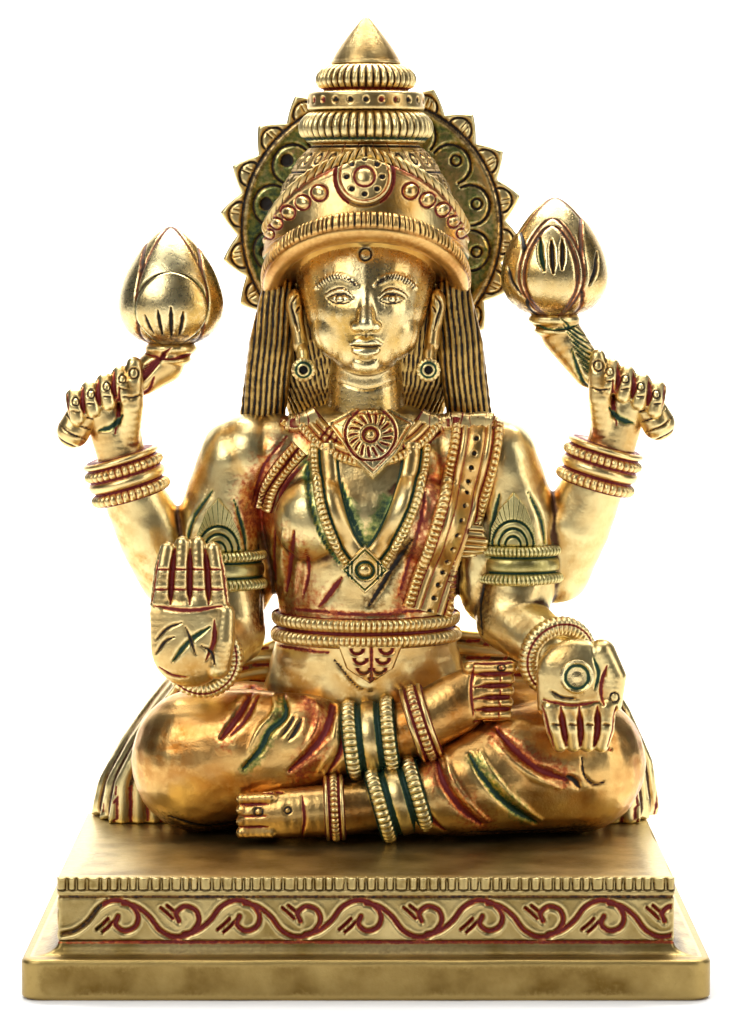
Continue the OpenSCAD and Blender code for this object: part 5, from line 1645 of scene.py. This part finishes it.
def crown_dome():
    """The dome, chased in square panels, each with a ringed stud in it."""
    count, tall = 24, 5.4
    high = TIER_Z + 0.4
    sole = 0.05  # the share of the way up that closes the dome's underside

    def rule(angle, way):
        low = BROW_Z + math.tan(BROW_TILT) * CROWN_R * np.cos(angle) - 0.6
        share = np.clip((way - sole) / (1 - 2 * sole), 0, 1)
        z = low + (high - low) * share
        z = np.where(way < sole, BROW_Z + (z - BROW_Z) * way / sole, z)
        radius = dome_radius(z)
        radius = np.where(way < sole, radius * way / sole, radius)
        radius = np.where(way > 1 - sole, radius * (1 - way) / sole, radius)
        across = (angle * count / (2 * math.pi) + 0.5) % 1 - 0.5
        rise = ((z - high + 1.2) / tall) % 1 - 0.5
        wide, high_in = np.abs(across) * 5.3, np.abs(rise) * tall
        frame_line = soft(np.maximum(wide, high_in) - 2.0, 0.34)
        away = np.hypot(across * 5.3, rise * tall)
        circle = soft(away - 1.1, 0.36)
        seam = smooth_step(2.35, 2.55, np.maximum(wide, high_in))
        face = (way > sole + 0.01) & (way < 1 - sole - 0.01)
        cut = np.clip(np.maximum(circle, frame_line * 0.6), 0, 1) * face
        radius = radius - (0.4 * cut + 0.45 * seam) * face + 0.12 * bump(away, 0, 0.7) * face
        stripes = wide > high_in
        return radius, z, {"red": seam * face * stripes,
                           "dark": np.maximum(seam * ~stripes, circle * 0.8) * face}

    piece = move(turned("crown_dome_casting", rule, 432, 190), 0, CROWN_Y, 0)
    seat_on_halo(piece)
    return finish(piece, "red_lacquered_brass", red_brass, "crown_dome", rounds=6)


def arch_height(angle, lift):
    """The height of an arched line over the brow, drawn up to a soft point at the front."""
    x = np.abs(CROWN_R * np.sin(angle))
    arch = np.clip(1 - (x / 21.5) ** 2, 0, 1) ** 0.42
    flat = 0.03 * np.sin(math.pi * np.clip(x / 16, 0, 1))
    return BROW_Z + lift * (arch - flat)


def crown_diadem():
    """The plate over the brow: a medallion between rows of beads that shrink towards the temples."""
    piece, u, v = sheet("crown_diadem_plate", 640, 110)
    angle = (u - 0.5) * math.radians(172)
    low, high = arch_height(angle, 9.6) + 0.4, arch_height(angle, 25.4)
    low = np.minimum(low, high - 3)
    z = low + (high - low) * v
    x = dome_radius(z) * np.sin(angle)
    rim_low, rim_high = z - low, high - z
    height = 1.3 + 0.35 * bump(rim_low, 1.5, 0.9) + 0.35 * bump(rim_high, 0.9, 0.8)
    cut = soft(rim_low - 2.4, 0.3) * 0.5
    green = soft(rim_low, 0.9)
    red = np.maximum(cut, 0.6 * soft(rim_high, 1.6) * (np.hypot(x + 0.3, z - 139.6) > 6.2))
    dark = np.zeros(len(x))
    beads = [(-9.2, 136.6, 1.3), (-12.5, 134.7, 1.2), (-15.4, 132.6, 1.1), (-17.8, 130.4, 0.9),
             (-19.3, 128.2, 0.7),
             (8.8, 137, 1.3), (12.2, 135.2, 1.2), (15.2, 133.2, 1.1), (17.5, 130.8, 0.9), (19.1, 128.4, 0.7)]
    for bead_x, bead_z, size in beads:
        away = np.hypot(x - bead_x, z - bead_z)
        height += 0.7 * size * bump(away, 0, size)
        ring = soft(away - size - 0.3, 0.24)
        red = np.maximum(red, ring)
        height -= 0.35 * ring
    away = np.hypot(x + 0.3, z - 139.6)
    turn = np.arctan2(x + 0.3, z - 139.6)
    disc = smooth_step(5.4, 5.1, away) * smooth_step(0.2, 1.2, rim_high)
    height += 0.7 * disc + 0.6 * bump(away, 0, 1.5)
    holes = np.exp(-((np.hypot(away - 3.4, ((turn * 8 / (2 * math.pi) + 0.5) % 1 - 0.5) * 2.7) / 0.55) ** 4))
    ring = soft(away - 1.95, 0.28) + soft(away - 4.7, 0.22) * 0.7
    height -= 0.6 * holes + 0.35 * ring + 0.4 * soft(away - 5.6, 0.3)
    dark = np.maximum(dark, holes)
    red = np.maximum(red, np.clip(ring, 0, 1) * 0.9)
    red = np.maximum(red, soft(away - 5.8, 0.4) * (np.abs(x + 0.3) > 3))
    edge = (v < 0.002) | (v > 0.998) | (u < 0.001) | (u > 0.999)
    height = np.where(edge, 0, height)
    dome_piece(piece, angle, z, height, {"red": red, "green": green, "dark": dark})
    return finish(piece, "red_lacquered_brass", antique_brass, "crown_diadem", rounds=8)


def crown_arch_cord():
    """The twisted rope over the diadem, in slanting beads."""
    piece, u, v = sheet("crown_arch_rope", 900, 30)
    angle = (u - 0.5) * math.radians(174)
    low = arch_height(angle, 25.5)
    high = low + 2.0 + 1.4 * np.abs(np.sin(angle))
    z = low + (high - low) * v
    run = angle * 19.5
    row = reeds(run + (v - 0.5) * 1.6 * np.tanh(run), 2.0, 0.8)
    height = 0.2 + 1.9 * bump(v, 0.5, 0.5) * (0.5 + 0.5 * row)
    height = np.where((u < 0.001) | (u > 0.999), 0, height)
    gap = smooth_step(0.5, 0.2, row)
    edge = smooth_step(0.62, 0.2, bump(v, 0.5, 0.5))
    dome_piece(piece, angle, z, height, {"green": edge * (v < 0.5), "dark": np.maximum(gap, edge) * 0.8})
    return finish(piece, "red_lacquered_brass", antique_brass, "crown_arch_cord", rounds=8)


def lobed_tier(name, node, slot, metal, low, height, radius, lobes, lacquer, line):
    """A turned disc with upright lobes filed round its rim."""
    def rule(angle, way):
        outline = [(0, 0), (radius - 2.0, 0), (radius - 0.6, 0.15 * height), (radius, 0.34 * height),
                   (radius + 0.1, 0.5 * height), (radius - 0.2, 0.66 * height), (radius - 1.2, 0.84 * height),
                   (radius - 2.6, 0.97 * height), (radius - 4, height), (0, height)]
        r, z = section(0.03 + 0.94 * way, outline)
        wall = smooth_step(0.02, 0.2, z / height) * smooth_step(1.0, 0.85, z / height)
        row = reeds(angle * lobes / (2 * math.pi) + 0.004 * np.sin(angle * 29), 1.0, 0.8)
        groove = soft(z / height - line, 0.05) * (r > radius - 2)
        r = r - 0.9 * (1 - row) * wall - 0.5 * groove
        cut = np.maximum(smooth_step(0.5, 0.2, row) * wall, groove)
        return r, z, {lacquer: cut, "dark": 0.7 * smooth_step(0.7, 0.3, row) * wall}

    piece = move(turned(name, rule, lobes * 12, 64), 0, CROWN_Y, low)
    seat_on_halo(piece)
    return finish(piece, slot, metal, node, rounds=6)


def crown_tier_middle():
    """The drum between the lobed tiers, with a row of drilled dots."""
    def rule(angle, way):
        r, z = section(way, [(0, 0), (12.3, 0), (12.5, 0.5), (12.4, 3.3), (12.0, 3.8), (0, 3.8)])
        across = ((angle * 23 / (2 * math.pi) + 0.5) % 1 - 0.5) * 3.35
        dot = np.exp(-((np.hypot(across, z - 2.0) / 0.62) ** 4)) * (r > 11.5)
        tone = np.sin(angle * 5) > 0.3
        return r - 0.6 * dot, z, {"dark": dot * ~tone, "red": dot * tone}

    piece = move(turned("crown_tier_middle_drum", rule, 480, 110), 0, CROWN_Y, TIER_Z + 7)
    return finish(piece, "polished_brass", antique_brass, "crown_tier_middle", rounds=6)


def crown_finial():
    def rule(angle, way):
        outline = [(0, 0), (7.1, 0), (7.6, 0.4), (7.3, 0.9)]
        outline += [(7.2 * (1 - t**1.2) + 0.4 * t, 0.9 + 9.4 * t) for t in np.linspace(0.02, 0.97, 20)]
        outline += [(0.3, 10.25), (0, 10.3)]
        r, z = section(way, outline)
        return r, z, {}

    piece = move(turned("crown_finial_casting", rule, 128, 110), 0, CROWN_Y, 164.2)
    return finish(piece, "polished_brass", antique_brass, "crown_finial", rounds=8)


def halo():
    """The disc behind the head: pointed petals round a rim, scallops within it."""
    radius, thick, petals = 33.0, 3.0, 20
    middle = (1.2, 20.0, 129.6)
    piece = add("uv_sphere", "halo_disc", segments=600, ring_count=150, radius=1)
    unit = points(piece)
    turn = np.arctan2(unit[:, 0], unit[:, 1])
    way = np.arccos(np.clip(unit[:, 2], -1, 1)) / math.pi  # 0 at the middle of the front
    petal = (turn * petals / (2 * math.pi) + 0.17) % 1
    edge = radius * (0.885 + 0.115 * (1 - np.abs(2 * petal - 1) ** 1.05))
    front = way <= 0.62
    share = np.where(front, way / 0.62, (1 - way) / 0.38)
    reach = np.where(front, share, np.minimum(1, share * 1.02)) * edge
    rim = smooth_step(0.985, 1.0, share)
    depth = np.where(front, rim * 0.6, thick - rim * 0.6)
    ring = soft(reach - 28.2, 0.35)
    across = (petal - 0.5) * 2
    arc = np.exp(-(((np.hypot(across * 4.2, (reach - 28.6)) - 2.5) / 0.28) ** 2)) * (reach > 28.6)
    within = (reach > 28.8) & (np.hypot(across * 4.2, reach - 28.6) < 2.1)
    hatch = smooth_step(0.5, 0.2, reeds(across * 4.2, 0.9)) * within
    scallops = 14
    lobe = (turn * scallops / (2 * math.pi) + 0.5) % 1 - 0.5
    wide = lobe * 2 * math.pi * 23.5 / scallops
    from_scallop = np.hypot(wide, reach - 21.5)
    scallop = soft(from_scallop - 4.7, 0.34) * (reach > 21)
    inner_circle = soft(np.hypot(wide, reach - 23.4) - 1.1, 0.3)
    moon = np.exp(-((np.hypot(wide * 0.7, reach - 23.6) / 1.0) ** 4)) * (np.sin(turn) < -0.2)
    deep = np.clip(ring + arc + hatch * 0.7 + scallop + inner_circle + moon, 0, 1) * front * (share < 0.97)
    depth = depth + 0.6 * deep + 0.25 * front * smooth_step(27.4, 26.4, reach)
    put(piece, np.stack([middle[0] + reach * np.sin(turn), middle[1] - thick + depth,
                         middle[2] + reach * np.cos(turn)], 1))
    coat(piece, "dark", deep)
    inside = front * smooth_step(27.8, 26.8, reach)
    cloud = 0.5 + 0.3 * np.sin(turn * 3 + 1) + 0.2 * np.sin(reach * 0.9 + turn * 5)
    coat(piece, "green", inside * (np.where(np.sin(turn) < 0, 0.42, 0.3) + 0.3 * cloud))
    coat(piece, "dark", 0.5 * front * soft(reach - 27.6, 0.9))
    edit(piece, ("normals_make_consistent", {"inside": False}))
    return finish(piece, "green_lacquered_brass", antique_brass, "halo", rounds=6)


crown_brow_band()
crown_dome()
crown_diadem()
crown_arch_cord()
lobed_tier("crown_tier_lower_lobes", "crown_tier_lower", "green_lacquered_brass", antique_brass,
           TIER_Z, 7.0, 14.3, 46, "green", 0.12)
crown_tier_middle()
lobed_tier("crown_tier_upper_lobes", "crown_tier_upper", "red_lacquered_brass", antique_brass,
           158.4, 5.9, 10.7, 40, "red", 0.1)
crown_finial()
halo()

# ---------- floor, lights and camera ----------

FLOOR_HALF = 1.6
WALL_BACK = 1.3


def backdrop():
    """A pale sweep: the floor, curving up into a wall behind."""
    piece, u, v = sheet("pale_sweep", 4, 48)
    run = v * 4.0
    bend = 0.5
    flat = FLOOR_HALF + WALL_BACK - bend
    turn = np.clip((run - flat) / bend, 0, math.pi / 2)
    y = -FLOOR_HALF + np.minimum(run, flat) + bend * np.sin(turn)
    z = bend * (1 - np.cos(turn)) + np.clip(run - flat - bend * math.pi / 2, 0, None)
    put(piece, np.stack([(u - 0.5) * 2 * FLOOR_HALF, y, z], 1))
    edit(piece, ("normals_make_consistent", {"inside": False}))
    if normals(piece)[:, 2].mean() < 0:
        edit(piece, ("flip_normals", {}))
    bpy.ops.object.shade_smooth()
    paper = bpy.data.materials.new("matt_white_paper")
    paper.use_nodes = True
    tree = paper.node_tree
    tree.nodes.clear()
    place = add_node(tree, "TexCoord").outputs["Object"]
    fibre = add_node(tree, "TexNoise", {"Vector": place, "Scale": 400.0, "Detail": 3.0}).outputs["Fac"]
    tone = add_node(tree, "Mix", {0: fibre, 6: shade("F1F0EE"), 7: shade("F6F5F3")},
                    data_type="RGBA").outputs[2]
    surface = add_node(tree, "BsdfPrincipled", {"Base Color": tone, "Roughness": 0.9})
    add_node(tree, "OutputMaterial", {"Surface": surface.outputs[0]})
    piece.data.materials.append(paper)


def softbox(name, place, aim, size, power):
    light = bpy.data.lights.new(name, "AREA")
    light.shape = "RECTANGLE"
    light.size, light.size_y = size
    light.energy = power
    lamp = bpy.data.objects.new(name, light)
    lamp.location = place
    lamp.rotation_euler = (Vector(aim) - Vector(place)).to_track_quat("-Z", "Y").to_euler()
    bpy.context.scene.collection.objects.link(lamp)


def room(colour, strength):
    world = bpy.data.worlds.new("studio")
    world.use_nodes = True
    tree = world.node_tree
    tree.nodes.clear()
    light = add_node(tree, "Background", {"Color": shade(colour), "Strength": strength})
    add_node(tree, "OutputWorld", {"Surface": light.outputs[0]})
    bpy.context.scene.world = world


LENS_MM = 85.3
SIDE_SHIFT = 0.003
EYE_AWAY, EYE_HIGH = 0.762, 0.156  # from the middle of the plinth's base, in metres
EYE_DOWN = 0.0809  # how far the view looks down, in radians


def camera():
    lens = bpy.data.cameras.new("camera")
    lens.sensor_fit = "VERTICAL"
    lens.sensor_height = 24
    lens.lens = LENS_MM
    lens.clip_start = 0.01
    lens.shift_x = SIDE_SHIFT
    eye = bpy.data.objects.new("camera", lens)
    eye.location = (0, -EYE_AWAY, EYE_HIGH)
    eye.rotation_euler = (math.radians(90) - EYE_DOWN, 0, 0)
    bpy.context.scene.collection.objects.link(eye)
    bpy.context.scene.camera = eye


backdrop()
room("C8D0DC", 0.08)
softbox("key_softbox", (-0.6, -0.75, 0.8), (0, 0, 0.1), (0.8, 0.8), 7.5)
softbox("fill_softbox", (0.85, -0.4, 0.45), (0, 0, 0.1), (0.4, 0.9), 3)
softbox("top_softbox", (0.0, 0.1, 1.1), (0, 0, 0.1), (1.0, 0.6), 6.5)
softbox("wall_softbox", (0.0, 0.5, 1.1), (0, 1.2, 0.2), (1.2, 0.4), 34)
bpy.context.scene.view_settings.view_transform = "Standard"
camera()
